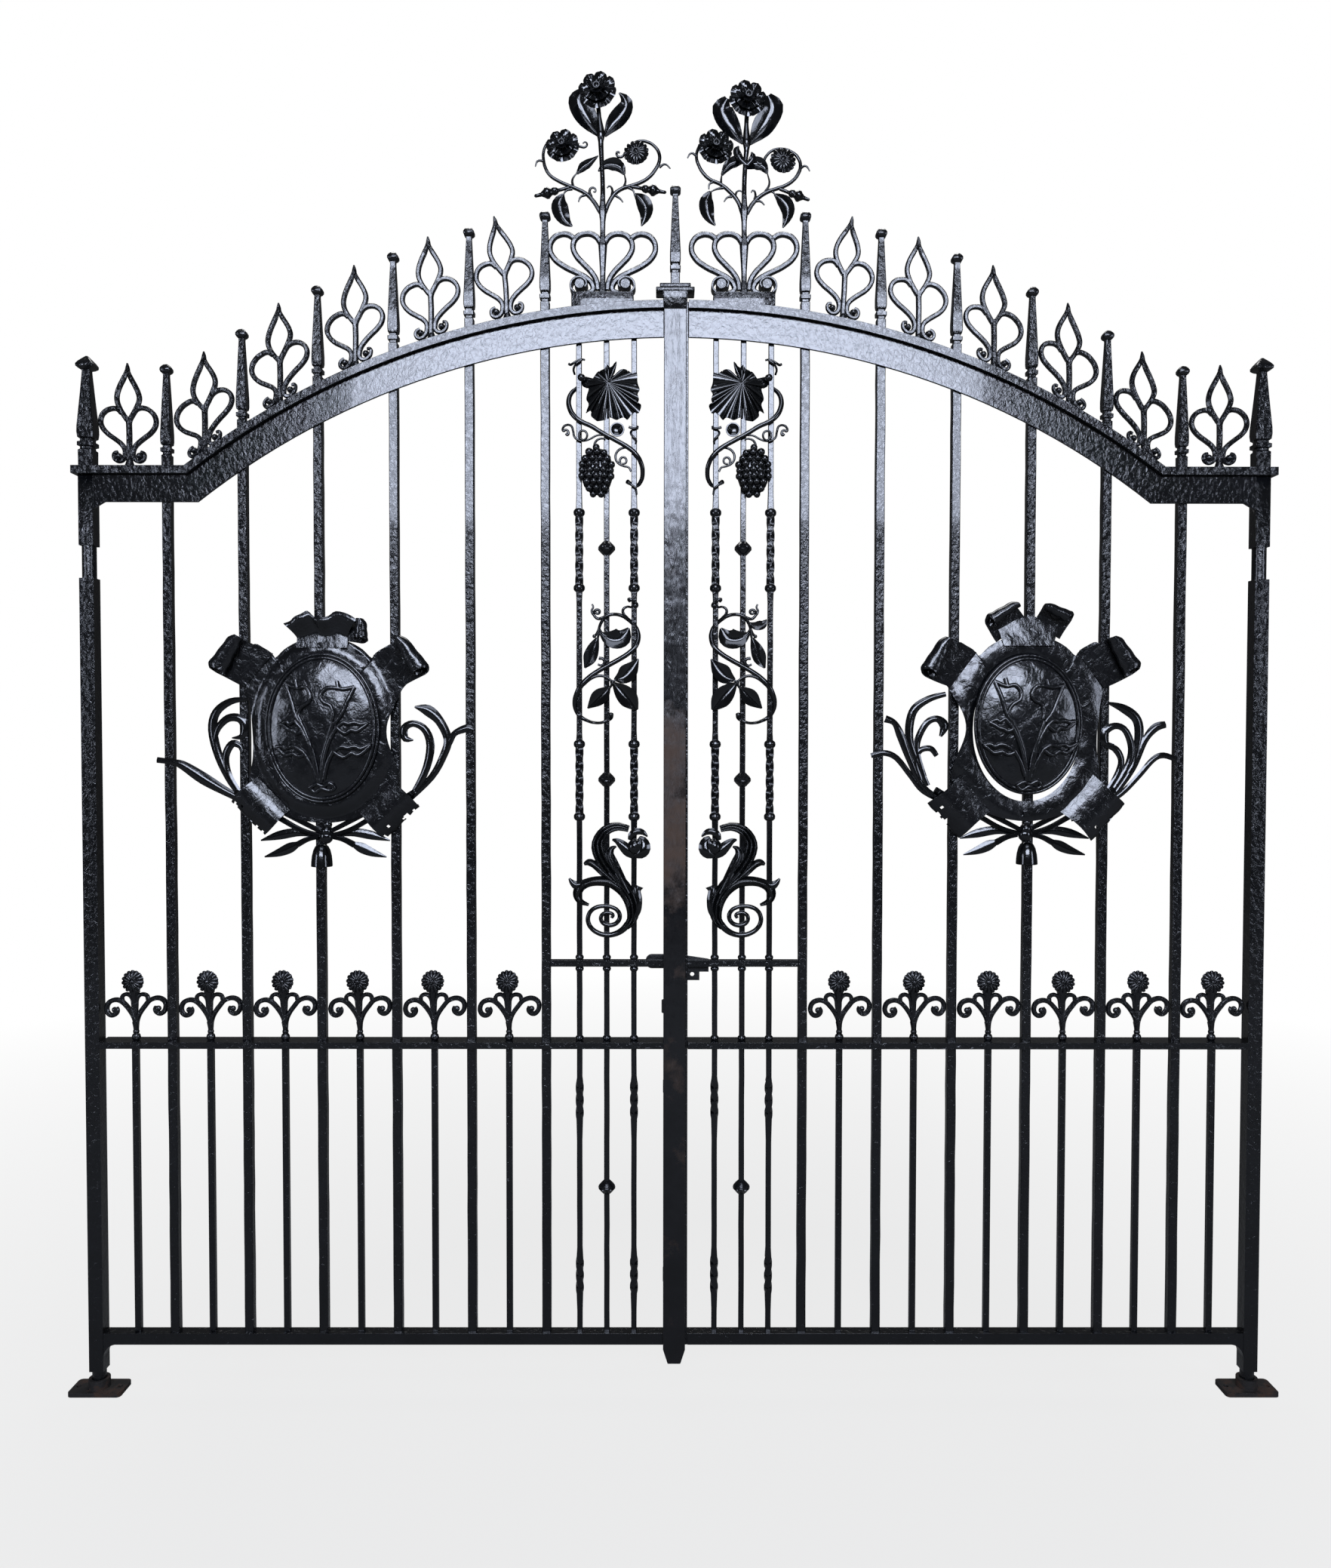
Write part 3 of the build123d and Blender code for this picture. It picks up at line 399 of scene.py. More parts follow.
def ironFinish(name, **changes):
    look = {**enamel, **changes}
    material = bpy.data.materials.new(name)
    material.use_nodes = True
    tree = material.node_tree
    tree.nodes.clear()
    where = addNode(tree, "TexCoord")
    drawnOut = addNode(tree, "Mapping", {"Scale": (1.0, 1.0, look["drawnOut"])},
                       {"Vector": (where, "Object")})
    # slow waves left by the hammer, then paint-filled pits drawn out along the bar
    waves = addNode(tree, "TexNoise", {"Scale": 1000 / look["waveSize"], "Detail": 2.0},
                    {"Vector": (where, "Object")})
    pits = addNode(tree, "TexNoise",
                   {"Scale": 1000 / look["pitSize"], "Detail": 3.0, "Roughness": 0.6, "Distortion": 0.9},
                   {"Vector": (drawnOut, "Vector")})
    patches = addNode(tree, "TexNoise", {"Scale": 1000 / look["patchSize"], "Detail": 6.0, "Roughness": 0.7},
                      {"Vector": (where, "Object")})
    waveDistance = look["waveSize"] * look["waveDepth"] * mm
    waveBump = addNode(tree, "Bump", {"Strength": look["waveStrength"], "Distance": waveDistance},
                       {"Height": (waves, "Fac")})
    pitDistance = look["pitSize"] * look["pitDepth"] * mm
    pitBump = addNode(tree, "Bump", {"Strength": look["pitStrength"], "Distance": pitDistance},
                      {"Height": (pits, "Fac"), "Normal": (waveBump, "Normal")})
    dust = addNode(tree, "MapRange", {"From Min": look["dustFrom"], "From Max": look["dustTo"]},
                   {"Value": (patches, "Fac")})
    stained = (patches, "Fac")
    if look["handled"]:
        low, high = look["handled"]
        fade = look["handledFade"]
        height = addNode(tree, "SeparateXYZ", {}, {0: (where, "Object")})
        above = addNode(tree, "MapRange",
                        {"From Min": low, "From Max": low + fade, "To Max": look["handledMost"]},
                        {"Value": (height, "Z")})
        below = addNode(tree, "MapRange",
                        {"From Min": high - fade, "From Max": high, "To Min": 1.0, "To Max": 0.0},
                        {"Value": (height, "Z")})
        rubbed = addNode(tree, "Math", {}, {0: (above, "Result"), 1: (below, "Result")}, operation="MULTIPLY")
        stained = (addNode(tree, "Math", {}, {0: (patches, "Fac"), 1: (rubbed, 0)}, operation="ADD"), 0)
    rust = addNode(tree, "MapRange",
                   {"From Min": look["rustFrom"], "From Max": look["rustFrom"] + look["rustFade"]},
                   {"Value": stained})
    # by number, because the mixer's factor, its two colours and its result share their names with others
    grey = addNode(tree, "Mix", {6: srgb(look["paint"]), 7: srgb(look["dust"])}, {0: (dust, "Result")},
                   data_type="RGBA")
    brown = addNode(tree, "Mix", {7: srgb(look["rust"])}, {0: (rust, "Result"), 6: (grey, 2)},
                    data_type="RGBA")
    dull = addNode(tree, "MapRange", {"To Min": look["gloss"], "To Max": look["gloss"] + look["glossSpread"]},
                   {"Value": (pits, "Fac")})
    bare = addNode(tree, "Math", {1: look["rustRoughness"]}, {0: (rust, "Result")}, operation="MULTIPLY")
    roughness = addNode(tree, "Math", {}, {0: (dull, "Result"), 1: (bare, 0)}, operation="ADD",
                        use_clamp=True)
    surface = addNode(tree, "BsdfPrincipled",
                      {"Coat Weight": look["coat"], "Coat Roughness": look["coatRoughness"]},
                      {"Base Color": (brown, 2), "Roughness": (roughness, 0), "Normal": (pitBump, "Normal")})
    addNode(tree, "OutputMaterial", {}, {"Surface": (surface, "BSDF")})
    return material


blackEnamelOnForgedIron = ironFinish("blackEnamelOnForgedIron")

# the same on the thin bars and the top band: a finer crinkle, so that twists and long flat faces stay clean
finelyCrinkledEnamel = ironFinish(
    "finelyCrinkledEnamel", waveSize=28.0, waveStrength=0.35, pitSize=11.0, pitStrength=0.5, drawnOut=0.8,
    glossSpread=0.10, coatRoughness=0.05)

# the same enamel on beaten sheet: broader hammer facets that catch the sky
blackEnamelOnBeatenSheet = ironFinish(
    "blackEnamelOnBeatenSheet", dust="#0f1013", rust="#2e1f16", waveSize=46.0, waveStrength=0.55,
    pitSize=22.0, pitStrength=0.6, drawnOut=0.8, patchSize=150.0, gloss=0.14, coat=0.42, coatRoughness=0.07)

# enamel lying thick and smooth on leaves, flowers and scrolls: glassy black with clean streaks of light
thickEnamelOnScrollwork = ironFinish(
    "thickEnamelOnScrollwork", paint="#040506", dust="#0a0b0d", rustFrom=0.82, waveSize=30.0,
    waveStrength=0.3, pitSize=16.0, pitStrength=0.16, drawnOut=1.0, glossSpread=0.10, coat=0.42,
    coatRoughness=0.05)

# enamel laid on the flat bar with a wide brush: streaks down its length, rubbed brown where it is handled
brushedEnamelOnFlatBar = ironFinish(
    "brushedEnamelOnFlatBar", paint="#08080a", dust="#121214", rust="#3d2a1b", rustFrom=0.58, rustFade=0.30,
    handled=(1.36, 1.98), waveSize=60.0, drawnOut=0.16, patchSize=110.0, gloss=0.14, glossSpread=0.16,
    coatRoughness=0.10)

# paint rubbed thin on the working parts: duller, brown where the iron shows
wornPaintOnHardware = ironFinish(
    "wornPaintOnHardware", paint="#0a0a0c", dust="#17171a", rust="#2f211b", rustFrom=0.64, waveSize=30.0,
    waveStrength=0.4, pitSize=10.0, pitStrength=0.6, drawnOut=1.0, patchSize=90.0, gloss=0.24,
    glossSpread=0.2, coat=0.2, coatRoughness=0.2)

# sand-cast iron, dull and rusty, with a grain like coarse sand
rustySandCastIron = ironFinish(
    "rustySandCastIron", paint="#151210", dust="#211b17", rust="#38271c", rustFrom=0.52, waveSize=18.0,
    waveStrength=0.3, pitSize=9.0, pitStrength=0.6, drawnOut=1.0, patchSize=60.0, gloss=0.55, glossSpread=0.2,
    coat=0.0, coatRoughness=0.2)
print("finishes made")


# straight work: forged copies of the frame's own shapes, each with its corners worn this much, in mm
forged = {
    "onBothLeaves": {
        "DogBars": 1.3, "BottomRail": 2.0, "MidRail": 2.0, "LockRail": 1.5, "TopBand": 1.5, "CapStrip": 2.0,
        "MeetingStile": 1.8,
    },
    "pivotShoe": 2.0,
    "coverBar": 2.0,
    "hardware": {
        "latchBolt": ("latch_bolt", 1.2),
        "latchGuide": ("left_leaf", 1.0),
        "boltKeeper": ("right_leaf", 1.0),
        "padlockPlate": ("right_leaf", 1.2),
        "dropBolt": ("drop_bolt", 1.2),
        "dropBoltGuides": ("left_leaf", 1.0),
    },
    "sharp": 38.0,  # degrees: only corners at least this sharp are worn
}


def forgedCopy(name, edge):
    piece = bpy.data.objects.new(name, nodes[nodeName(name)].data.copy())
    bpy.context.scene.collection.objects.link(piece)
    ownNormals = piece.data.attributes.get("custom_normal")
    if ownNormals:
        piece.data.attributes.remove(ownNormals)
    editAll(piece,
            (bpy.ops.mesh.remove_doubles, {"threshold": 0.02 * mm}),
            (bpy.ops.mesh.dissolve_limited, {"angle_limit": radians(1.0)}))
    smooth(piece)
    addModifier(piece, "BEVEL", width=edge * mm, segments=2, limit_method="ANGLE",
                angle_limit=radians(forged["sharp"]), harden_normals=True)
    return piece


for title, edge in forged["onBothLeaves"].items():
    finish = finelyCrinkledEnamel if title == "TopBand" else blackEnamelOnForgedIron
    for side in sides:
        offered(forgedCopy(side + title, edge), side + title, finish)
for side in sides:
    shoe = side + "PivotShoe"
    offered(forgedCopy(shoe, forged["pivotShoe"]), shoe, rustySandCastIron, "ground_irons")
offered(forgedCopy("coverBar", forged["coverBar"]), "coverBar", brushedEnamelOnFlatBar, body="left_leaf")
for name, (body, edge) in forged["hardware"].items():
    offered(forgedCopy(name, edge), name, wornPaintOnHardware, body)
print("straight work forged")


# where the drawings stand on the gate

def outward(side, distance):
    return gate["middle"] + sides[side] * distance


capTrees = {}
for side in sides:
    strip = nodes[side + "_cap_strip"].data
    capTrees[side] = BVHTree.FromPolygons([v.co.copy() for v in strip.vertices],
                                          [tuple(p.vertices) for p in strip.polygons])


def capTop(side, distance):
    # height of the cap strip's top at this distance from the middle, felt for just inside its back edge
    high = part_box(side + "_cap_strip")[1]
    above = Vector((outward(side, distance) * mm, high.y - 4 * mm, high.z + 0.5))
    return capTrees[side].ray_cast(above, Vector((0, 0, -1)))[0].z / mm


barPlaces = [gate["innermostBar"] + gate["barSpacing"] * k for k in range(gate["bars"])]
heelInner = gate["middle"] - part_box("left_heel_post")[1].x / mm
bayEdges = [place - gate["barHalf"] for place in barPlaces[1:]] + [heelInner]
bayPlaces = [(place + gate["barHalf"] + edge) / 2 for place, edge in zip(barPlaces, bayEdges)]
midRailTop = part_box("left_mid_rail")[1].z / mm
print("bays", [round(b, 1) for b in bayPlaces], "mid rail top", round(midRailTop, 1))


# bars with their spears, heel posts, and the thin bars of the inner panel

spear = {
    # rows of (height, thickness factor) above the cap strip: block, rings, long taper, neck and domed cap
    "bar": [(0, 1.0), (33, 1.02), (36, 0.76), (41, 0.76), (43, 1.16), (53, 1.18), (55, 0.78), (60, 0.78),
            (63, 1.08), (72, 1.18), (92, 1.18), (130, 1.04), (180, 0.86), (225, 0.70), (252, 0.60),
            (257, 0.62), (261, 0.98), (266, 1.18), (272, 1.16), (277, 0.94), (282, 0.60), (285, 0.12)],
    "heel": [(0, 1.0), (46, 1.02), (50, 0.80), (55, 0.80), (58, 1.10), (68, 1.10), (71, 0.80), (77, 0.80),
             (81, 1.06), (95, 1.14), (112, 1.12), (150, 0.96), (200, 0.76), (248, 0.58), (263, 0.53),
             (267, 0.54), (270, 0.86), (275, 1.16), (282, 1.18), (290, 0.92), (299, 0.52), (307, 0.14)],
    "barWidth": 25.0,
    "heelWidth": 40.0,
    "corner": 2.2,
    "heelCorner": 3.0,
    "heelEdge": 2.2,
    "heelRise": 22.0,  # of the turned head above the underside of the cap strip
    "heelLap": 4.0,  # of the post into the head
}
thinBar = {
    "width": 15.0,
    "corner": 1.6,
    "twistClear": 6.0,
    "twistSteps": 22,
    "twistThickness": 1.2,
    "bead": [(-11, 0.62), (-8, 0.86), (-4, 1.02), (-2, 1.0), (0, 1.05), (2, 1.0), (4, 1.02), (8, 0.86),
             (11, 0.62)],
    "beadWidth": 31.0,
    "knop": [(-20, 0.32), (-18, 0.46), (-8, 0.84), (-4, 0.98), (-1.5, 0.95), (0, 1.0), (1.5, 0.95),
             (4, 0.96), (9, 0.80), (18, 0.44), (20, 0.32)],
    "knopWidth": 49.0,
    "beads": (2479, 2270, 1835, 1632),  # heights on the outer two bars
    "twists": (  # from, to, degrees
        (2270, 2479, 450.0), (1632, 1835, 450.0), (779, 886, 270.0), (281, 384, 270.0)),
    "knops": (2380, 1736, 584),
    "footBeads": (1008, 1204, 1236),
    "footBead": [(-7, 0.72), (-4, 0.96), (0, 1.04), (4, 0.96), (7, 0.72)],
    "footBeadWidth": 23.0,
    "low": 170.0,  # where all the bars start
    "capDepth": 21.0,  # from the top of the cap strip down to the bars' heads
}


def forgedRows(low, high, step=70.0, seed=0.0, wander=0.5):
    # a long bar is never quite true: small changes of thickness and of line
    count = max(2, int((high - low) / step))
    rows = []
    for k in range(count + 1):
        height = low + (high - low) * k / count
        shift = wander * noise1(k, seed + 1.7) if 0 < k < count else 0.0
        rows.append((height, 1 + 0.012 * noise1(k, seed), shift))
    return rows


def twistedRows(rows, hand):
    # the rows of a square bar with its twists; above each twist the bar keeps the angle it was turned to
    clear, steps = thinBar["twistClear"], thinBar["twistSteps"]
    twisted = []
    for low, high, angle in thinBar["twists"]:
        rows = [row for row in rows if not low - clear <= row[0] <= high + clear]
        for j in range(steps + 1):
            f = j / steps
            twisted.append((low + (high - low) * f, thinBar["twistThickness"], 0.0, hand * angle * f))
    rows = sorted([(*row, 0.0) for row in rows] + twisted)
    carried, square = 0.0, []
    for row, after in zip(rows, rows[1:] + rows[-1:]):
        square.append((*row[:3], row[3] + carried))
        if row[3] != 0 and after[3] == 0:
            carried += row[3]
    return square


for side, s in sides.items():
    group = []
    for k, place in enumerate(barPlaces):
        top = capTop(side, place + gate["barHalf"])
        shaft = forgedRows(thinBar["low"], top, seed=k + 3.3 * s)[:-1]
        shaft += [(top + height, thickness) for height, thickness in spear["bar"]]
        bar = turned(shaft, spear["barWidth"], spear["corner"])
        group.append(standUp(bar, outward(side, place), 0, 0))
    offered(joinAll(group), side + "MainBars", blackEnamelOnForgedIron)

    # the heel post is the frame's own up to the cap strip, and a turned spear above it
    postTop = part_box(side + "_cap_strip")[0].z / mm + spear["heelRise"]
    post = forgedCopy(side + "HeelPost", spear["heelEdge"])
    cutAt = (0, 0, (postTop - spear["heelLap"]) * mm)
    editAll(post, (bpy.ops.mesh.bisect,
                   {"plane_co": cutAt, "plane_no": (0, 0, 1), "clear_outer": True, "use_fill": True}))
    head = turned([(-6, 1.0)] + spear["heel"], spear["heelWidth"], spear["heelCorner"])
    head = standUp(head, outward(side, gate["middle"]), 0, postTop)
    offered(joinAll([post, head]), side + "HeelPost", blackEnamelOnForgedIron)

    group = []
    for k, place in enumerate(gate["thinBars"]):
        top = capTop(side, place) - thinBar["capDepth"]
        rows = forgedRows(thinBar["low"], top, 60.0, seed=9 + k + s, wander=0.3)
        if k == 1:
            ornaments = turnedAt(thinBar["knops"], thinBar["knop"], thinBar["knopWidth"])
        else:
            rows = twistedRows(rows, -s if k == 0 else s)
            ornaments = turnedAt(thinBar["beads"], thinBar["bead"], thinBar["beadWidth"])
        bar = turned(rows, thinBar["width"], thinBar["corner"])
        footBeads = turnedAt(thinBar["footBeads"], thinBar["footBead"], thinBar["footBeadWidth"])
        group.append(standUp(joinAll([bar] + ornaments + footBeads), outward(side, place), 0, 0))
    offered(joinAll(group), side + "PanelBars", finelyCrinkledEnamel)

# the middle finial stands on two cap plates, and a collar under them leans out over the cover bar
plates = {
    "wide": 106.0,
    "upperWide": 85.0,
    "upperShare": 0.85,  # of the lower plate's depth
    "height": 12.0,
    "collar": (69.0, 8.0, 46.0),
    "collarLean": (-4.0, 4.5),  # how far its front moves back at the top and at the foot
    "collarTaper": 0.93,
}
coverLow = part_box("cover_bar")[0]
finialLow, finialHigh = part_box("centre_finial")
plateY = (finialLow.y + finialHigh.y) / 2 / mm
plateDepth = (finialHigh.y - finialLow.y) / mm
plateZ = finialLow.z / mm
parts = []
for wide, deep, rise in ((plates["wide"], plateDepth, 0),
                         (plates["upperWide"], plates["upperShare"] * plateDepth, plates["height"])):
    plate = boxAt((gate["middle"], plateY, plateZ + rise + plates["height"] / 2),
                  (wide, deep, plates["height"]))
    addModifier(plate, "BEVEL", width=2.5 * mm, segments=2)
    smooth(plate)
    parts.append(plate)
collar = boxAt((gate["middle"], coverLow.y / mm - 2, plateZ - plates["collar"][2] / 2), plates["collar"])
for vertex in collar.data.vertices:
    high = vertex.co.z > (plateZ - 5) * mm
    if vertex.co.y < coverLow.y - 3 * mm:
        vertex.co.y += plates["collarLean"][0 if high else 1] * mm
    if not high:
        vertex.co.x = gate["middle"] * mm + (vertex.co.x - gate["middle"] * mm) * plates["collarTaper"]
addModifier(collar, "BEVEL", width=1.5 * mm, segments=2)
smooth(collar)
parts.append(collar)
finialTall = finialHigh.z / mm - plateZ - 2 * plates["height"]
shrink = finialTall / spear["bar"][-1][0]
head = turned([(-3, 1.0)] + [(h * shrink, f) for h, f in spear["bar"]], spear["barWidth"], spear["corner"])
parts.append(standUp(head, gate["middle"], plateY, plateZ + 2 * plates["height"]))
offered(joinAll(parts), "centreFinial", blackEnamelOnForgedIron, body="left_leaf")
print("bars and spears made")


# trefoils on the cap strip: an ogee loop over two heart loops

trefoil = {
    "rod": 13.2,
    "corner": 3.6,
    "ogeeRight": [(-5, 281, 0, 0.5), (-3, 266, 0, 0.75), (4, 248), (15, 228), (25, 206), (28, 190),
                  (21, 168), (11, 149), (2, 133), (-1, 118)],
    "ogeeLeft": [(-5, 281, 0, 0.5), (-8, 266, 0, 0.75), (-15, 248), (-26, 226), (-33, 205), (-34, 188),
                 (-28, 168), (-16, 147), (-5, 131)],
    "loopRight": [(12, 152), (23, 163), (42, 165), (61, 155), (73, 137), (73, 117), (61, 98), (41, 82),
                  (24, 68), (14, 56), (10, 42), (12, 28, 0, 0.95), (22, 19, 0, 0.85), (35, 20, 0, 0.8),
                  (42, 30, 0, 0.75), (40, 41, 0, 0.7), (31, 45, 0, 0.6)],
    "loopLeft": [(-22, 152), (-34, 163), (-52, 163), (-70, 153), (-79, 135), (-77, 117), (-61, 96),
                 (-38, 79), (-22, 66), (-13, 52), (-12, 38), (-16, 26, 0, 0.95), (-26, 19, 0, 0.85),
                 (-38, 22, 0, 0.8), (-44, 32, 0, 0.75), (-41, 42, 0, 0.7), (-32, 45, 0, 0.6)],
    "tip": [(-5, 262, 0, 1.1), (-5, 277, 0, 0.8), (-6, 289, 0, 0.3)],
    "stem": [(-3, 140, 0, 1.15), (-1, 120, 0, 1.1), (-1, 20, 0, 1.1)],
    "balls": [(28, 33, 9.5), (-30, 33, 9.5)],
    "footHalf": 15.0,
    "footTop": 0.5,  # of its width at the bottom
    "footHeight": 24.0,
    "footLean": 1.0,  # of the cap strip's own slope, at the curls
    "headLean": 0.6,  # and up at the loops
    "leanFrom": 50.0,
    "leanTo": 110.0,
    "tall": 300.0,
    "firstWarp": 33.0,  # how far the innermost one bends over at its full height, and the others at most
    "warp": 8.0,
    "slopeReach": 60.0,  # how far each way the cap strip's slope is felt for
    "sunk": 1.0,
}


def makeTrefoil(lean, warp):
    def tipped(u, w):
        low, high = trefoil["leanFrom"], trefoil["leanTo"]
        up = min(1.0, max(0.0, (w - low) / (high - low)))
        share = trefoil["footLean"] + (trefoil["headLean"] - trefoil["footLean"]) * up
        return (u + warp * (w / trefoil["tall"]) ** 2, w + lean * share * u)

    strokes = [[(*tipped(u, w), *rest) for u, w, *rest in trefoil[key]]
               for key in ("ogeeRight", "ogeeLeft", "loopRight", "loopLeft", "tip", "stem")]
    parts = [bentBars(strokes, trefoil["rod"], corner=trefoil["corner"], steps=4)]
    for u, w, radius in trefoil["balls"]:
        parts.append(ball(tipped(u, w), radius, 1.15))
    foot = rollAt((0, trefoil["footHeight"] / 2, 0), trefoil["footHalf"], trefoil["footHeight"], 1.5, 16,
                  (-pi / 2, 0, 0), trefoil["footTop"])
    smooth(foot, 35)
    return joinAll(parts + [foot])


for side, s in sides.items():
    group = []
    for k, place in enumerate(bayPlaces):
        reach = trefoil["slopeReach"]
        slope = (capTop(side, place - reach) - capTop(side, place + reach)) / (2 * reach)
        warp = s * (trefoil["firstWarp"] if k == 0 else trefoil["warp"] * noise1(k, s))
        piece = makeTrefoil(-s * slope, warp)
        group.append(standUp(piece, outward(side, place), 0, capTop(side, place) - trefoil["sunk"]))
    offered(joinAll(group), side + "Trefoils", blackEnamelOnForgedIron)
print("trefoils made")


# daisies and full flowers, used on the sprigs and the crests

def roundPetals(radius, lobes, hollow, dome, ridge, notch, rise=0.0, turn=0.0, perLobe=4, flute=0.0):
    # one round of petals raised from a disc: the centre domed towards the viewer, every petal a ridge
    def place(s, t):
        angle = pi * t + radians(turn)
        petal = abs(cos(lobes * angle / 2))
        reach = radius * (hollow + (1 - hollow) * s) * (1 - notch * s * (1 - petal ** 0.6))
        lift = rise + dome * (1 - s * s) + ridge * petal * min(1.0, 1.6 * s)
        lift += flute * cos(3 * lobes * angle) * s
        return (reach * cos(angle), reach * sin(angle), lift)

    return shapedSheet(place, 5, lobes * perLobe, 1.4)


def ringAt(radius, wire, out):
    bpy.ops.mesh.primitive_torus_add(major_segments=16, minor_segments=6, major_radius=radius * mm,
                                     minor_radius=wire * mm, location=(0, 0, out * mm))
    return bpy.context.object


def calyxCup(radius, depth):
    bpy.ops.mesh.primitive_cone_add(vertices=14, radius1=0.3 * radius * mm, radius2=radius * mm,
                                    depth=depth * mm, location=(0, 0, -depth / 2 * mm))
    return bpy.context.object


def makeDaisy(radius, petals=15):
    daisy = joinAll([
        roundPetals(radius, petals, 0.10, 0.30 * radius, 0.10 * radius, 0.10, rise=1.0),
        calyxCup(0.55 * radius, 0.30 * radius),
        ringAt(0.25 * radius, 0.05 * radius, 0.37 * radius),
        ball((0, 0, 0.33 * radius), 0.20 * radius, 0.6),
        ball((0, 0, 0.44 * radius), 0.08 * radius, 0.8, 8, 6),
    ])
    smooth(daisy, 60)
    return daisy


def makeDouble(radius, lobes=8):
    # rounds of petals one over another, a rosette struck in each outer petal, a cup and a ringed eye
    parts = [
        roundPetals(radius, lobes, 0.2, 0.10 * radius, 0.12 * radius, 0.10, rise=-3.0, perLobe=8,
                    flute=0.03 * radius),
        roundPetals(0.74 * radius, lobes, 0.15, -0.04 * radius, 0.12 * radius, 0.14, rise=0.17 * radius,
                    turn=180.0 / lobes, perLobe=6, flute=0.025 * radius),
        roundPetals(0.42 * radius, 6, 0.1, -0.10 * radius, 0.12 * radius, 0.2, rise=0.36 * radius, turn=10.0,
                    perLobe=6),
        calyxCup(0.6 * radius, 0.25 * radius),
        ringAt(0.15 * radius, 0.05 * radius, 0.44 * radius),
        ball((0, 0, 0.36 * radius), 0.12 * radius, 0.7, 10, 6),
    ]
    for k in range(lobes):
        turn = 2 * pi * k / lobes
        place = (0.80 * radius * cos(turn), 0.80 * radius * sin(turn), 0.07 * radius)
        parts.append(ball(place, 0.10 * radius, 0.7, 8, 6))
    flower = joinAll(parts)
    smooth(flower, 60)
    return flower

sprig = {
    "bar": 13.0,
    "corner": 3.2,
    "curl": 11.0,
    "curlCorner": 2.6,
    "scrollLeft": [(-1, 46), (-3, 56), (-8, 69), (-17, 84), (-28, 98), (-39, 108), (-51, 113), (-64, 112),
                   (-75, 106), (-81, 95), (-81, 82), (-74, 72), (-65, 70), (-56, 75), (-53, 84),
                   (-57, 91)],
    "scrollRight": [(1, 46), (3, 56), (8, 70), (17, 85), (27, 98), (37, 110), (50, 117), (63, 119),
                    (75, 115), (83, 106), (84, 92), (79, 81), (70, 75), (60, 78), (55, 86), (58, 94)],
    "calyxLeft": [(-38, 112), (-38, 122), (-29, 129), (-18, 127), (-10, 117), (-7, 97), (-4, 78)],
    "calyxRight": [(34, 114), (32, 124), (21, 129), (10, 126), (3, 116), (1, 96), (0, 78)],
    "stalk": [(-1, 46, 0, 0.85), (-2, 80, 0, 0.9), (-3, 108, 0, 1.0), (-3, 124, 0, 1.5),
              (-3, 138, 0, 2.0)],
    "stem": [(0, 0, 0, 1.0), (0, 16, 0, 0.9), (0, 34, 0, 1.05), (-1, 52, 0, 1.35)],
    "balls": [(-60, 85, 8.5), (63, 89, 8.5), (0, 9, 12.6), (0, 24, 9.0)],
    "flower": (-3, 167, 8),
    "flowerRadius": 32.0,
    "flowerTurn": 28.0,  # degrees from one to the next
    "sunk": 0.5,
}
daisy = makeDaisy(sprig["flowerRadius"])
scrolls = bentBars([sprig["scrollLeft"], sprig["scrollRight"]], sprig["bar"], corner=sprig["corner"], steps=4)
calyx = bentBars([sprig["calyxLeft"], sprig["calyxRight"]], sprig["curl"], corner=sprig["curlCorner"],
                 steps=3)
stalk = bentBars([sprig["stalk"], sprig["stem"]], sprig["bar"], corner=sprig["corner"], steps=3)
sprigModel = joinAll([scrolls, calyx, stalk] + [ball((u, w), radius, 0.8) for u, w, radius in sprig["balls"]])
for side, s in sides.items():
    group = []
    for k, place in enumerate(bayPlaces):
        # no two flowers face quite the same way
        lean = (-4.0 + 5 * noise1(k, 3 + s), 6 * noise1(k, 5 + s))
        bloom = copyTo(daisy, sprig["flower"], sprig["flowerTurn"] * k, lean=lean)
        whole = joinAll([copyTo(sprigModel, (0, 0)), bloom])
        group.append(standUp(whole, outward(side, place), 0, midRailTop - sprig["sunk"]))
    offered(joinAll(group), side + "DaisySprigs", blackEnamelOnForgedIron)
discard(daisy, sprigModel)
print("daisy sprigs made")


# crests: a block and fan of bars, then a branch with flowers, hips and leaves

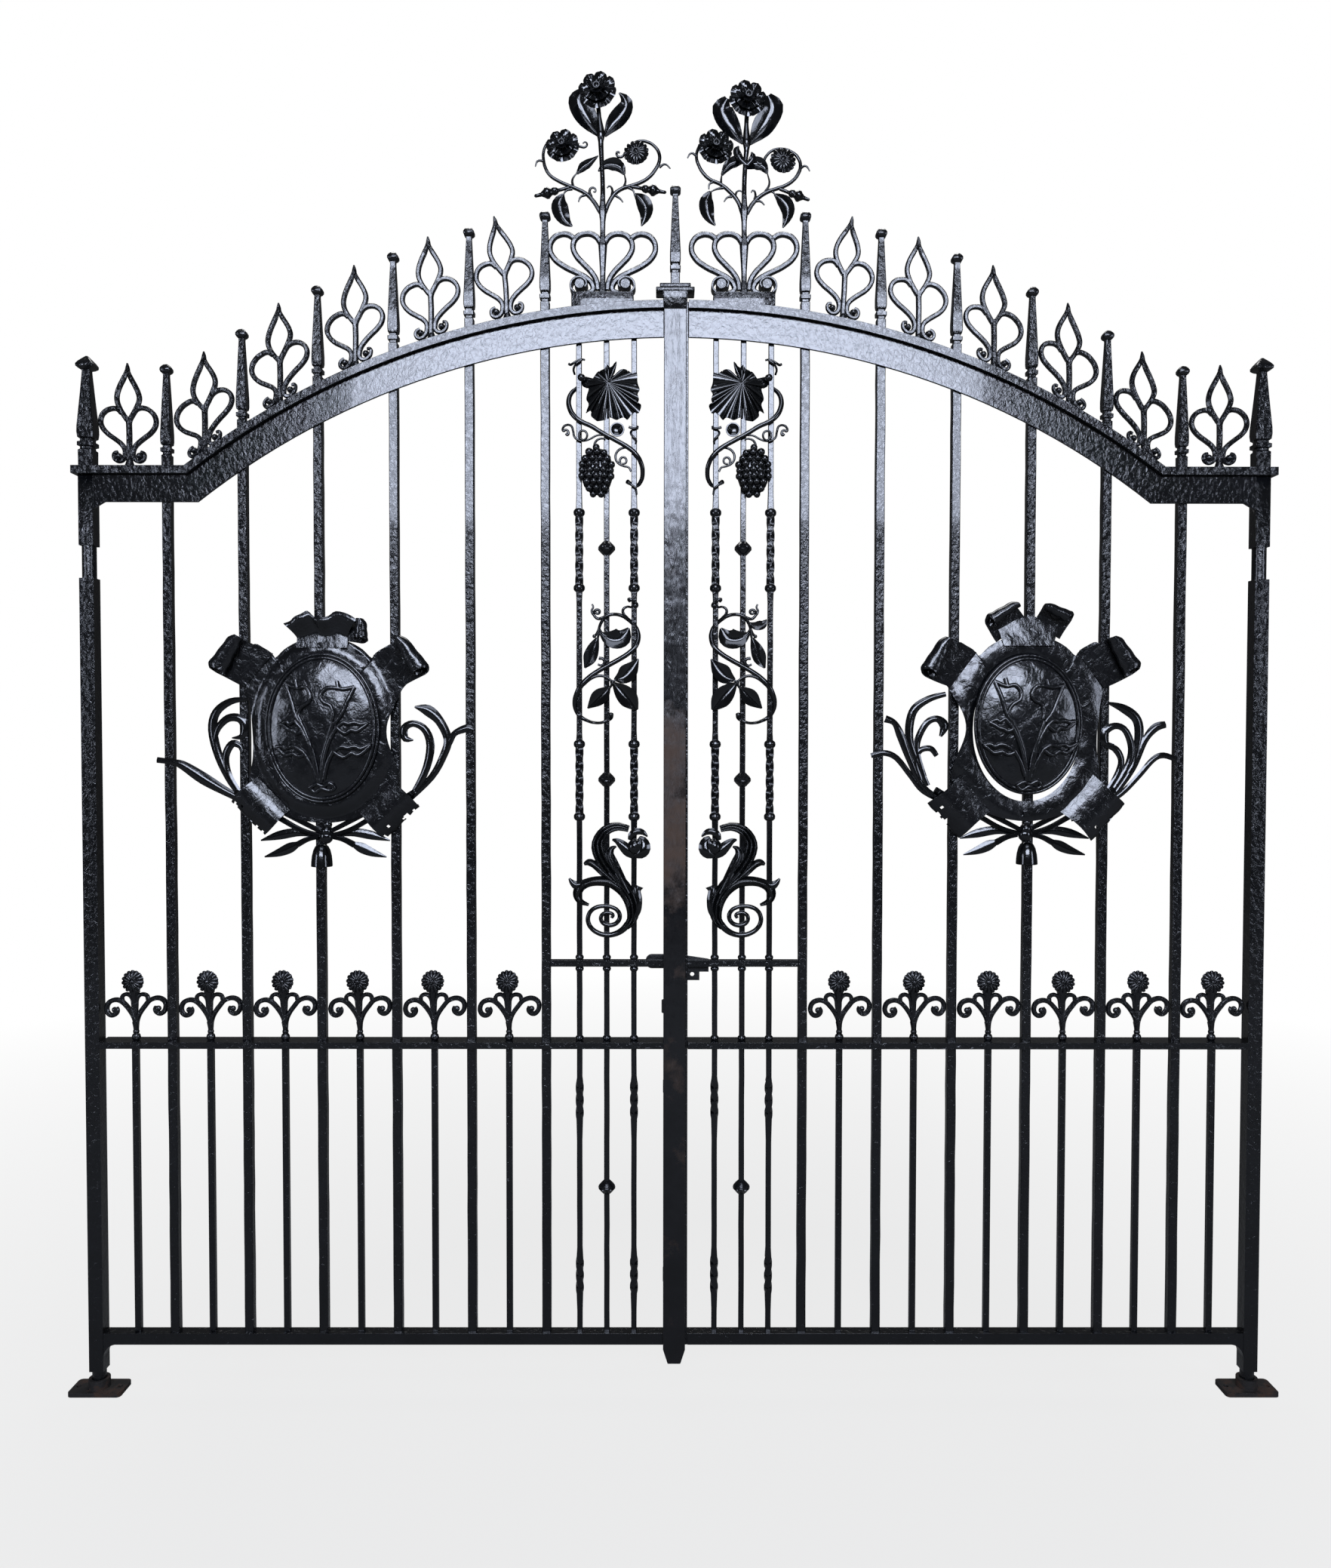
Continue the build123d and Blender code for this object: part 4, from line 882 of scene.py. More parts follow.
crest = {
    "fanBar": 15.0,
    "fanCorner": 4.0,
    "branchBar": 10.0,
    "twigShare": 0.8,  # of the branches' thickness
    "stemBar": 13.5,
    "stemCorner": 3.2,
    "blockDepth": 48.0,
    "blockSunk": 2.0,  # into the cap strip
    "blockRise": 35.0,  # above it, at the crest's own middle
    "voluteBar": (6.0, 38.0, 1.5),  # thin, deep, worn corner
    "volute": [(-78, 2), (-86, 10), (-87, 25), (-79, 37), (-65, 42), (-51, 37), (-44, 26), (-48, 15)],
    "voluteHeart": (-63, 24, 15.0),
    "voluteHeartLong": 36.0,
    "fanSpur": [(-78, 153, 0, 1.1), (-79, 145, 0, 0.9), (-81, 136, 0, 0.6)],
    "flowerOut": 8,
    "hip": [(0.0, 0.9), (0.30, 1.0), (0.36, 1.9), (0.43, 2.2), (0.49, 1.7), (0.53, 2.0), (0.60, 3.1),
            (0.66, 3.0), (0.73, 1.9), (0.80, 1.1), (0.97, 0.9), (1.0, 0.3)],
    "fan": [
        [(-4, 138), (-20, 159), (-45, 166), (-72, 155), (-82, 131), (-74, 107), (-52, 82), (-31, 60),
         (-17, 36), (-13, 12)],
        [(-77, 151), (-96, 163), (-118, 163), (-138, 150), (-146, 125), (-136, 100), (-108, 77),
         (-70, 58), (-42, 42), (-28, 25), (-28, 10), (-44, 2)],
    ],
    "post": [(0, 1.9), (16, 1.6), (34, 1.1), (60, 1.1), (100, 1.45), (126, 1.7), (138, 1.8), (144, 1.45),
             (154, 1.15), (170, 1.0), (200, 1.1), (220, 1.5), (232, 1.6), (244, 1.2), (270, 0.95)],
    "left": {
        "anchor": -200.7,
        "blockHalf": 85.5,
        "stemTop": (-5, 436),
        "branches": [
            [(-6, 224), (-28, 258), (-47, 276), (-68, 287), (-93, 297), (-124, 311), (-146, 326),
             (-158, 345), (-163, 366), (-163, 389), (-154, 410), (-130, 428), (-95, 430), (-66, 410)],
            [(6, 224), (19, 255), (34, 276), (53, 289), (71, 295), (99, 304), (127, 320), (146, 342),
             (156, 363), (156, 384), (143, 405), (125, 416), (104, 419), (82, 411), (67, 396), (58, 380),
             (48, 375), (39, 381), (41, 389), (47, 387)],
        ],
        "twigs": [
            [(-163, 364), (-179, 364), (-186, 349)], [(157, 348), (172, 356), (187, 344)],
            [(-48, 272), (-61, 266), (-67, 253)], [(36, 270), (48, 262), (56, 252)],
            [(-31, 266), (-36, 284), (-28, 292), (-20, 287), (-21, 280), (-26, 281)],
            [(25, 268), (26, 288), (19, 296), (12, 291)],
            [(-80, 291), (-84, 311), (-79, 322), (-71, 331)], [(56, 290), (63, 308), (60, 328)],
            [(-84, 288), (-101, 283), (-109, 272)], [(71, 292), (84, 284), (88, 272)],
            [(-75, 408), (-60, 403), (-49, 402), (-43, 409), (-48, 416), (-55, 412)],
        ],
        "hips": [((-93, 292), (-189, 268)), ((78, 295), (176, 279))],
        "leaves": [
            ([(-109, 274), (-118, 250), (-116, 225), (-103, 200), (-84, 186)], [3, 19, 23, 16, 1.5]),
            ([(88, 274), (106, 258), (118, 235), (118, 212), (107, 187)], [3, 17, 21, 15, 1.5]),
            ([(-71, 329), (-55, 345), (-38, 357), (-12, 379)], [3, 12, 11, 1]),
            ([(60, 327), (48, 345), (28, 353), (5, 350), (-12, 336)], [3, 15, 18, 11, 2]),
            ([(-11, 434, -6), (-38, 474, -10), (-58, 506, -8), (-66, 532, -4), (-58, 556, 2)],
             [3, 27, 31, 26, 6]),
            ([(6, 434, -6), (28, 464, -8), (52, 490, -6), (65, 515, -2), (60, 533, 2), (46, 546, 6)],
             [3, 21, 25, 19, 11, 2]),
        ],
        "double": (-110, 401, 47),
        "daisy": (93, 381, 35),
        "topFlower": (-14, 552, 53),
    },
    "right": {
        "anchor": 190.5,
        "blockHalf": 85.0,
        "stemTop": (6, 416),
        "branches": [
            [(-5, 222), (-18, 256), (-44, 285), (-66, 302), (-95, 315), (-115, 334), (-126, 353),
             (-132, 372), (-130, 392), (-118, 412), (-92, 422), (-60, 416), (-38, 404)],
            [(7, 222), (24, 250), (44, 269), (66, 282), (86, 289), (112, 298), (134, 312), (149, 331),
             (155, 350), (150, 371), (132, 389), (104, 398), (76, 393), (60, 378), (52, 363), (43, 357),
             (35, 364), (38, 372), (45, 370)],
        ],
        "twigs": [
            [(-131, 378), (-147, 386), (-157, 373)], [(155, 346), (169, 352), (181, 338)],
            [(-34, 268), (-46, 266), (-56, 254)], [(32, 256), (45, 255), (56, 245)],
            [(-20, 256), (-24, 272), (-16, 284), (-5, 281)], [(26, 254), (31, 274), (24, 285), (19, 279)],
            [(-64, 300), (-64, 314), (-62, 328)], [(57, 280), (69, 302), (64, 331)],
            [(-58, 292), (-78, 288), (-93, 281)], [(70, 284), (80, 280), (85, 272)],
            [(-84, 309), (-96, 302), (-98, 288)],
        ],
        "hips": [((98, 289), (181, 259))],
        "leaves": [
            ([(-93, 282), (-104, 258), (-104, 232), (-96, 208), (-80, 189)], [3, 17, 20, 14, 1.5]),
            ([(84, 274), (104, 257), (118, 236), (119, 212), (107, 183)], [3, 17, 20, 14, 1.5]),
            ([(-62, 326), (-45, 350), (-22, 362), (4, 366)], [3, 13, 15, 5]),
            ([(63, 331), (50, 349), (28, 356), (2, 346)], [3, 15, 18, 5]),
            ([(-4, 414, -6), (-32, 452, -10), (-52, 480, -8), (-62, 508, -4), (-48, 534, 2)],
             [3, 24, 29, 26, 8]),
            ([(14, 412, -6), (44, 450, -10), (66, 482, -8), (76, 512, -4), (64, 542, 2)],
             [3, 27, 31, 29, 9]),
            ([(6, 352, 4), (-16, 372, 8), (-22, 390, 6), (-16, 404, 2)], [4, 10, 9, 2]),
            ([(8, 352, 4), (22, 368, 8), (20, 386, 6)], [4, 9, 2]),
        ],
        "double": (-80, 399, 50),
        "daisy": (105, 360, 36),
        "topFlower": (8, 530, 52),
    },
}


def makeCrestBlock(side, drawing):
    # the block runs from the cap strip at its outer end up to a level top
    low = capTop(side, abs(drawing["anchor"]) + drawing["blockHalf"]) - crest["blockSunk"]
    top = capTop(side, gate["crest"]) + crest["blockRise"]
    block = boxAt((gate["middle"] + drawing["anchor"], 0, (low + top) / 2),
                  (2 * drawing["blockHalf"], crest["blockDepth"], top - low))
    addModifier(block, "BEVEL", width=2.0 * mm, segments=2)
    smooth(block)
    return block, top


def makeCrestFan():
    parts = []
    u, w, radius = crest["voluteHeart"]
    for flip in (1, -1):
        parts += [
            bentBars([crest["volute"]], *crest["voluteBar"], steps=4, flip=flip),
            rollAt((flip * u, w, 0), radius, crest["voluteHeartLong"], 2.5, 24),
            bentBars(crest["fan"], crest["fanBar"], corner=crest["fanCorner"], flip=flip),
            bentBars([crest["fanSpur"]], crest["fanBar"], corner=crest["fanCorner"], flip=flip),
        ]
    parts.append(turned(crest["post"], crest["stemBar"], crest["stemCorner"]))
    return joinAll(parts)


def hipStroke(start, tip):
    # a rose hip: stalk, small bulb, waist, large bulb, pointed beak
    run, climb = tip[0] - start[0], tip[1] - start[1]
    return [(start[0] + run * f, start[1] + climb * f, 0.0, thickness) for f, thickness in crest["hip"]]


def makeCrestBranch(drawing, s, heads):
    # the stem leans out to its top, then on to the flower that it carries
    topU, topW = drawing["stemTop"]
    flowerU, flowerW = drawing["topFlower"][:2]
    stem = [(0, 226, 0, 1.1), (0, 300, 0, 0.95), (topU * 0.6, 370, 0, 0.95), (topU, topW - 20, 0, 1.1),
            (topU, topW, 0, 1.7), (flowerU * 0.7, topW + 50, -4, 0.9), (flowerU, flowerW - 20, -4, 0.9)]
    bar = crest["branchBar"]
    parts = [
        bentBars([stem], crest["stemBar"]),
        bentBars([tapered(branch, 1.25, 0.62) for branch in drawing["branches"]], bar),
        bentBars([tapered(twig, 1.0, 0.45) for twig in drawing["twigs"]], bar * crest["twigShare"]),
        bentBars([hipStroke(*hip) for hip in drawing["hips"]], bar, steps=3),
    ]
    for spine, widths in drawing["leaves"]:
        parts += veined(spine, widths, fold=0.5, ripple=1.2, waves=3, thick=1.8)
    for key, (head, radius) in heads.items():
        u, w, size = drawing[key]
        parts.append(copyTo(head, (u, w, crest["flowerOut"]), 11 * s, size / radius, (-6.0, 5.0 * s)))
    return joinAll(parts)


daisyRadius, topRadius = crest["left"]["daisy"][2], crest["left"]["topFlower"][2]
daisy, topFlower = makeDaisy(daisyRadius), makeDouble(topRadius)
for side, s in sides.items():
    drawing = crest[side]
    x = gate["middle"] + drawing["anchor"]
    block, blockTop = makeCrestBlock(side, drawing)
    fan = standUp(makeCrestFan(), x, 0, blockTop)
    offered(joinAll([fan, block]), side + "CrestFan", blackEnamelOnForgedIron)

    doubleRadius = drawing["double"][2]
    double = makeDouble(doubleRadius)
    heads = {
        "double": (double, doubleRadius),
        "daisy": (daisy, daisyRadius),
        "topFlower": (topFlower, topRadius),
    }
    branch = standUp(makeCrestBranch(drawing, s, heads), x, 0, blockTop)
    offered(branch, side + "CrestFlowers", thickEnamelOnScrollwork)
    discard(double)
discard(daisy, topFlower)
print("crests made")


# the inner panel: grapevine, leaf spray and acanthus scroll on the three thin bars; drawn for the left leaf
# from the middle thin bar, where out 14 lies on the bars' faces and out -14 passes behind them

vine = {
    "level": 2600.0,
    "stem": [(-53, 241, -12, 0.7), (-66, 245, -14, 0.75), (-83, 226, -12, 0.85), (-97, 212, -6, 0.95),
             (-105, 190, 0, 1.05), (-102, 165, 6, 1.1), (-90, 143, 12, 1.1), (-70, 127, 15, 1.05),
             (-42, 114, 15), (-9, 94, 15), (25, 76, 15, 1.05), (58, 57, 15, 1.05), (81, 38, 15),
             (96, 13, 10), (100, -10, 2, 0.95), (95, -32, -8, 0.9), (82, -44, -13, 0.8),
             (67, -40, -4, 0.8), (58, -37, 8, 1.0)],
    "stemBar": 13.0,
    "tendrils": [
        [(-104, 286, 10), (-99, 283, 12), (-92, 286, 14), (-80, 293, 15), (-67, 297, 14), (-60, 297, 10)],
        [(-68, 296, 14), (-84, 284, 14), (-91, 272, 8), (-89, 262, -6)],
        [(-113, 96, 6), (-108, 92, 6), (-106, 100, 6), (-112, 106, 6), (-120, 103, 6), (-120, 112, 7),
         (-110, 119, 8), (-98, 116, 10), (-92, 100, 12), (-88, 84, 14), (-76, 75, 15), (-60, 74, 15),
         (-45, 79, 14), (-26, 89, 13), (-9, 90, 13)],
        [(-64, 74, 16), (-74, 82, 18), (-73, 96, 19), (-63, 100, 20), (-54, 93, 20), (-55, 80, 19),
         (-64, 74, 18)],
        [(-34, 58, 10), (-30, 72, 11), (-18, 80, 12), (-3, 80, 12)],
        [(65, 57, 10), (44, 55, 10), (29, 44, 10), (25, 28, 10), (32, 14, 10), (48, 5, 11), (62, 1, 12),
         (68, -10, 12)],
        [(38, 11, 10), (38, 24, 10), (47, 30, 10), (55, 23, 10), (52, 13, 10), (43, 12, 10)],
        [(60, -41, 13), (70, -48, 16), (80, -56, 16), (84, -74, 13)],
        [(62, 112, 14), (74, 108, 15), (86, 112, 12), (84, 118, 4)],
        [(86, 114, -4), (68, 100, 8), (70, 90, 14), (82, 76, 14), (80, 66, 4)],
    ],
    "tendrilBar": 7.5,
    "leafCentre": (5, 234, 14),
    "leafEdge": [(-70, 262), (-50, 245), (-36, 252), (-22, 268), (-6, 272), (2, 284), (10, 276),
                 (28, 291), (22, 262), (14, 250), (38, 268), (56, 270), (72, 258), (84, 262), (86, 236),
                 (92, 214), (86, 204), (90, 188), (86, 178), (96, 172), (89, 150), (76, 154), (60, 134),
                 (48, 138), (26, 133), (8, 138), (-10, 131), (-26, 132), (-42, 144), (-44, 160),
                 (-58, 156), (-50, 178), (-57, 196), (-50, 222), (-68, 232), (-70, 262)],
    "leafGrooves": 22,
    "leafTurnedAway": 0.28,  # how fast its outer side falls back
    "bunch": (-26, -10, 12),
    "bunchHalf": (46, 66, 21),
    "grape": 10.8,
    "cup": (30, 104, 14),
    "knot": (-70, 250, 6),
}


def edgedLeaf(centre, edge, grooves, depth, cup, flip):
    # a leaf beaten over a stake: flutes run from its centre to every point of its edge
    rim = [(flip * u, w, 0) for u, w in edge]
    heart = Vector((flip * centre[0], centre[1], centre[2]))

    def place(s, t):
        f = (t + 1) / 2
        reach = along(rim, f) - Vector((heart.x, heart.y, 0))
        swell = depth * (abs(sin(pi * grooves * f)) ** 0.7 - 0.5) * min(1.0, 1.5 * s)
        turnedAway = vine["leafTurnedAway"] * min(0.0, flip * reach.x) * s
        return heart + reach * s + Vector((0, 0, swell + turnedAway + cup * s * s))

    return shapedSheet(place, 7, 198, 1.6)


def makeGrapes(flip):
    # rows of grapes, each lifted by a rounded core behind them
    bu, bw, bo = vine["bunch"]
    halfU, halfW, halfO = vine["bunchHalf"]
    grape = vine["grape"]
    grapes = []
    row = 0
    w = halfW
    while w >= -halfW:
        reach = halfU * sqrt(max(0.0, 1 - (w / halfW) ** 2)) * (1.0 if w > -20 else 0.9)
        count = int(reach / grape) + 1
        for k in range(count):
            u = (k - (count - 1) / 2) * 2 * grape * 0.92 + 2.0 * noise1(k, row)
            near = min(1.0, (u / (halfU + 6)) ** 2 + (w / (halfW + 6)) ** 2)
            place = (flip * (bu + u), bw + w + 1.5 * noise1(row, k), bo + halfO * sqrt(1 - near))
            grapes.append(ball(place, grape * (1 + 0.1 * noise1(k + row, 4)), 0.95, 10, 7))
        w -= grape * 1.5
        row += 1
    core = ball((flip * bu, bw, bo), halfU, 0.45, 14, 10)
    for vertex in core.data.vertices:
        vertex.co.y = (bw + (vertex.co.y / mm - bw) * halfW / halfU) * mm
    return grapes + [core]


def makeVine(flip):
    parts = [
        bentBars([vine["stem"]], vine["stemBar"], flip=flip),
        bentBars([tapered(tendril, 1.0, 0.75) for tendril in vine["tendrils"]], vine["tendrilBar"], steps=4,
                 flip=flip),
        edgedLeaf(vine["leafCentre"], vine["leafEdge"], vine["leafGrooves"], 9.0, -4.0, flip),
    ]
    parts += makeGrapes(flip)
    knotU, knotW, knotOut = vine["knot"]
    parts.append(ball((flip * knotU, knotW, knotOut), 11.0, 0.9))
    # a fluted cup with its rim and two seeds
    u, w, out = vine["cup"]
    bowl = roundPetals(19.0, 12, 0.05, -5.0, 0.0, 0.0, rise=4.0)
    rim = ringAt(18.0, 2.2, 0)
    parts += [copyTo(bowl, (flip * u, w, out)), ball((flip * (u + 9), w, out + 6), 8.5, 0.9),
              ball((flip * (u + 9), w, out + 13), 4.0, 0.9), copyTo(rim, (flip * u, w, out + 4))]
    discard(bowl, rim)
    return joinAll(parts)


spray = {
    "level": 2060.0,
    "stem": [(14, -140, -8, 0.75), (12, -152, 2, 0.75), (0, -160, 12, 0.6), (-14, -165, 12, 0.6),
             (-34, -165, 6, 0.62), (-52, -160, -6, 0.7), (-75, -147, -12, 0.85), (-86, -130, -8, 0.95),
             (-89, -108, 0, 1.05), (-83, -85, 10, 1.1), (-71, -63, 15, 1.1), (-50, -41, 15, 1.05),
             (-25, -23, 15), (5, -6, 15), (34, 10, 15), (62, 28, 15), (80, 46, 12), (88, 68, 4, 1.0),
             (86, 90, -6, 0.95), (76, 109, -13, 0.85), (59, 124, -10, 0.8), (42, 133, 2, 0.75),
             (22, 136, 12, 0.72), (5, 133, 14, 0.7), (-13, 125, 13, 0.68), (-25, 124, 12, 0.62),
             (-34, 132, 12, 0.58), (-41, 145, 12, 0.5), (-37, 156, 12, 0.42), (-40, 164, 12, 0.35)],
    "stemBar": 13.5,
    "twigs": [
        [(-36, 136, 12), (-31, 146, 13), (-23, 148, 13), (-19, 142, 13), (-25, 137, 13), (-31, 141, 13)],
        [(58, 126, -4), (47, 138, 0), (46, 150, 2), (56, 158, 0), (68, 158, -10)],
        [(66, 172, 8), (62, 178, 12), (74, 172, 14), (84, 166, 8), (82, 158, -6), (68, 160, -10)],
        [(-8, 124, 12), (-17, 108, 12), (-23, 90, 12), (-31, 77, 12), (-34, 74, 12)],
        [(-20, 96, 12), (-22, 82, 12), (-25, 66, 12)], [(-20, 92, 12), (-12, 82, 12), (0, 74, 13)],
        [(-21, 14, 13), (-10, 12, 14), (-6, 2, 14), (-14, -6, 14), (-24, -3, 14)],
        [(-68, -63, 14), (-42, -42, 15), (-20, -35, 16), (0, -39, 16), (18, -50, 16), (26, -47, 16)],
        [(14, -48, 16), (14, -60, 16), (8, -70, 15)],
    ],
    "twigBar": 9.5,
    "leaves": [
        ([(-18, 84, 12), (5, 70, 15), (28, 66, 17), (48, 74, 15), (62, 98, 10)], [3, 20, 27, 24, 3]),
        ([(-25, 70, 12), (-36, 42, 14), (-47, 12, 13), (-61, -13, 10)], [4, 16, 18, 2]),
        ([(22, -46, 16), (45, -38, 18), (66, -20, 16), (89, 12, 12)], [3, 21, 23, 1.5]),
        ([(18, -54, 16), (42, -78, 18), (66, -104, 16), (85, -130, 12)], [3, 22, 25, 4]),
        ([(9, -66, 15), (-8, -84, 16), (-28, -102, 14), (-53, -125, 10)], [3, 19, 20, 1.5]),
    ],
    "rightLeaf": [([(-14, 112, 12), (-34, 104, 14), (-54, 108, 12), (-66, 122, 8)], [2, 11, 12, 1.5])],
    "knots": [(-34, 75, 12, 5.5), (12, -143, 6, 7.0), (80, 161, 8, 7.0)],
}


def makeSpray(flip, leaves):
    parts = [
        bentBars([spray["stem"]], spray["stemBar"], flip=flip),
        bentBars([tapered(twig, 1.0, 0.65) for twig in spray["twigs"]], spray["twigBar"], steps=4, flip=flip),
    ]
    for spine, widths in leaves:
        parts += veined(spine, widths, flip=flip, fold=0.5, ripple=1.4, waves=2, thick=1.8)
    parts += [ball((flip * u, w, out), radius, 0.9) for u, w, out, radius in spray["knots"]]
    return joinAll(parts)


acanthus = {
    "level": 1450.0,
    "spiral": [(14, -101, 14, 0.8), (18, -93, 14, 0.9), (7, -87, 14), (-6, -88, 14), (-15, -97, 14, 1.05),
               (-14, -110, 14, 1.05), (-2, -120, 14, 1.1), (15, -121, 14, 1.15), (31, -112, 14, 1.15),
               (37, -96, 14, 1.15), (31, -81, 14, 1.1), (15, -71, 14, 1.05), (-4, -68, 14, 1.05),
               (-24, -70, 14, 1.1), (-42, -80, 14, 1.1), (-51, -96, 14, 1.15), (-51, -114, 14, 1.2),
               (-42, -130, 14, 1.2), (-24, -143, 14, 1.25), (-2, -149, 14, 1.3), (20, -147, 14, 1.4),
               (44, -135, 14, 1.6), (60, -118, 14, 1.8)],
    "spiralBar": 11.0,
    "rib": 5.0,
    "ribsAt": {1: (0.0,), 3: (-0.66, 0.0, 0.66)},  # by the number of flutes, in shares of the half width
    "fold": -0.5,
    "blades": [
        # the body with its flutes, then lobes to the left, above and inside, and the sheath on the right
        ([(54, -128, 14), (70, -108, 16), (74, -80, 18), (66, -48, 20), (48, -18, 20), (24, 12, 20),
          (0, 42, 20), (-18, 72, 19), (-25, 100, 18), (-17, 127, 17), (4, 148, 16), (32, 155, 14),
          (62, 148, 12)], [8, 13, 17, 19, 20, 18, 17, 17, 17, 15, 13, 11, 8], 3),
        ([(66, -66, 18), (46, -28, 20), (14, -3, 18), (-18, 2, 16), (-50, -2, 14), (-74, -15, 14),
          (-82, -36, 13), (-74, -55, 12), (-50, -65, 10)], [10, 13, 14, 13, 12, 13, 12, 8, 3], 1),
        ([(-56, -4, 13), (-82, -10, 12), (-95, -4, 10), (-105, 9, 7)], [11, 12, 8, 2], 0),
        ([(28, -6, 20), (-8, 26, 18), (-34, 48, 15), (-50, 54, 12), (-63, 49, 10)],
         [11, 11, 10, 9, 3], 1),
        ([(62, -32, 19), (38, 14, 20), (20, 52, 18), (10, 76, 15), (14, 92, 12), (27, 99, 9)],
          [9, 12, 12, 10, 7, 1.5], 1),
        ([(70, -112, 14), (84, -82, 16), (87, -50, 16), (85, -25, 14), (90, -12, 12)],
          [5, 11, 12, 10, 13], 0),
    ],
    "bud": [
        # petals of the hanging flower: left calyx leaf, outer petal, folded heart, sweeping tip
        ([(78, 72, 12), (62, 86, 19), (44, 103, 17), (30, 114, 13), (16, 118, 8)], [9, 16, 13, 8, 2]),
        ([(78, 74, 16), (95, 82, 25), (104, 96, 25), (101, 114, 20), (90, 124, 14)], [7, 17, 19, 14, 5]),
        ([(64, 118, 18), (71, 134, 23), (86, 142, 23), (102, 139, 20), (114, 127, 14)],
          [4, 9, 9, 7, 1.5]),
        ([(84, 92, 27), (88, 106, 31), (95, 118, 27)], [4, 8, 3]),
    ],
    "budBall": (80, 98, 12, 22.5),
}


def fluteRibs(spine, widths, shares, flip):
    # thin raised ribs running the length of a blade, at these shares of its half width
    last = len(spine) - 1
    lines = []
    for share in shares:
        line = []
        for k, (u, w, out) in enumerate(spine):
            ahead = Vector(spine[min(k + 1, last)]) - Vector(spine[max(k - 1, 0)])
            across = Vector((-ahead.y, ahead.x, 0)).normalized() * share * widths[k]
            lift = (acanthus["fold"] * abs(share) ** beating["foldCurve"] + 0.2) * widths[k] + 1.0
            line.append((u + across.x, w + across.y, out + lift, 0.5 + 0.5 * sin(pi * k / last)))
        lines.append(line)
    return bentBars(lines, acanthus["rib"], steps=3, flip=flip)


def makeAcanthus(flip):
    parts = [bentBars([acanthus["spiral"]], acanthus["spiralBar"], flip=flip)]
    for spine, widths, flutes in acanthus["blades"]:
        parts.append(leaf(spine, widths, fold=acanthus["fold"], grooves=flutes, thick=3.0, rows=26,
                          columns=16, flip=flip))
        if flutes:
            parts.append(fluteRibs(spine, widths, acanthus["ribsAt"][flutes], flip))
    for spine, widths in acanthus["bud"]:
        parts.append(leaf(spine, widths, fold=-0.45, thick=2.4, rows=10, columns=8, flip=flip))
    u, w, out, radius = acanthus["budBall"]
    parts.append(ball((flip * u, w, out), radius, 0.75, 18, 12))
    return joinAll(parts)


for side, s in sides.items():
    x = outward(side, gate["thinBars"][1])
    leaves = spray["leaves"] + (spray["rightLeaf"] if side == "right" else [])
    for title, piece, level in (("Grapevine", makeVine(-s), vine["level"]),
                                ("LeafSpray", makeSpray(-s, leaves), spray["level"]),
                                ("AcanthusScroll", makeAcanthus(-s), acanthus["level"])):
        offered(standUp(piece, x, 0, level), side + title, thickEnamelOnScrollwork)
print("inner panels made")


# shields: a waisted dished plate with rolled lugs, a domed medallion in relief, reeds behind

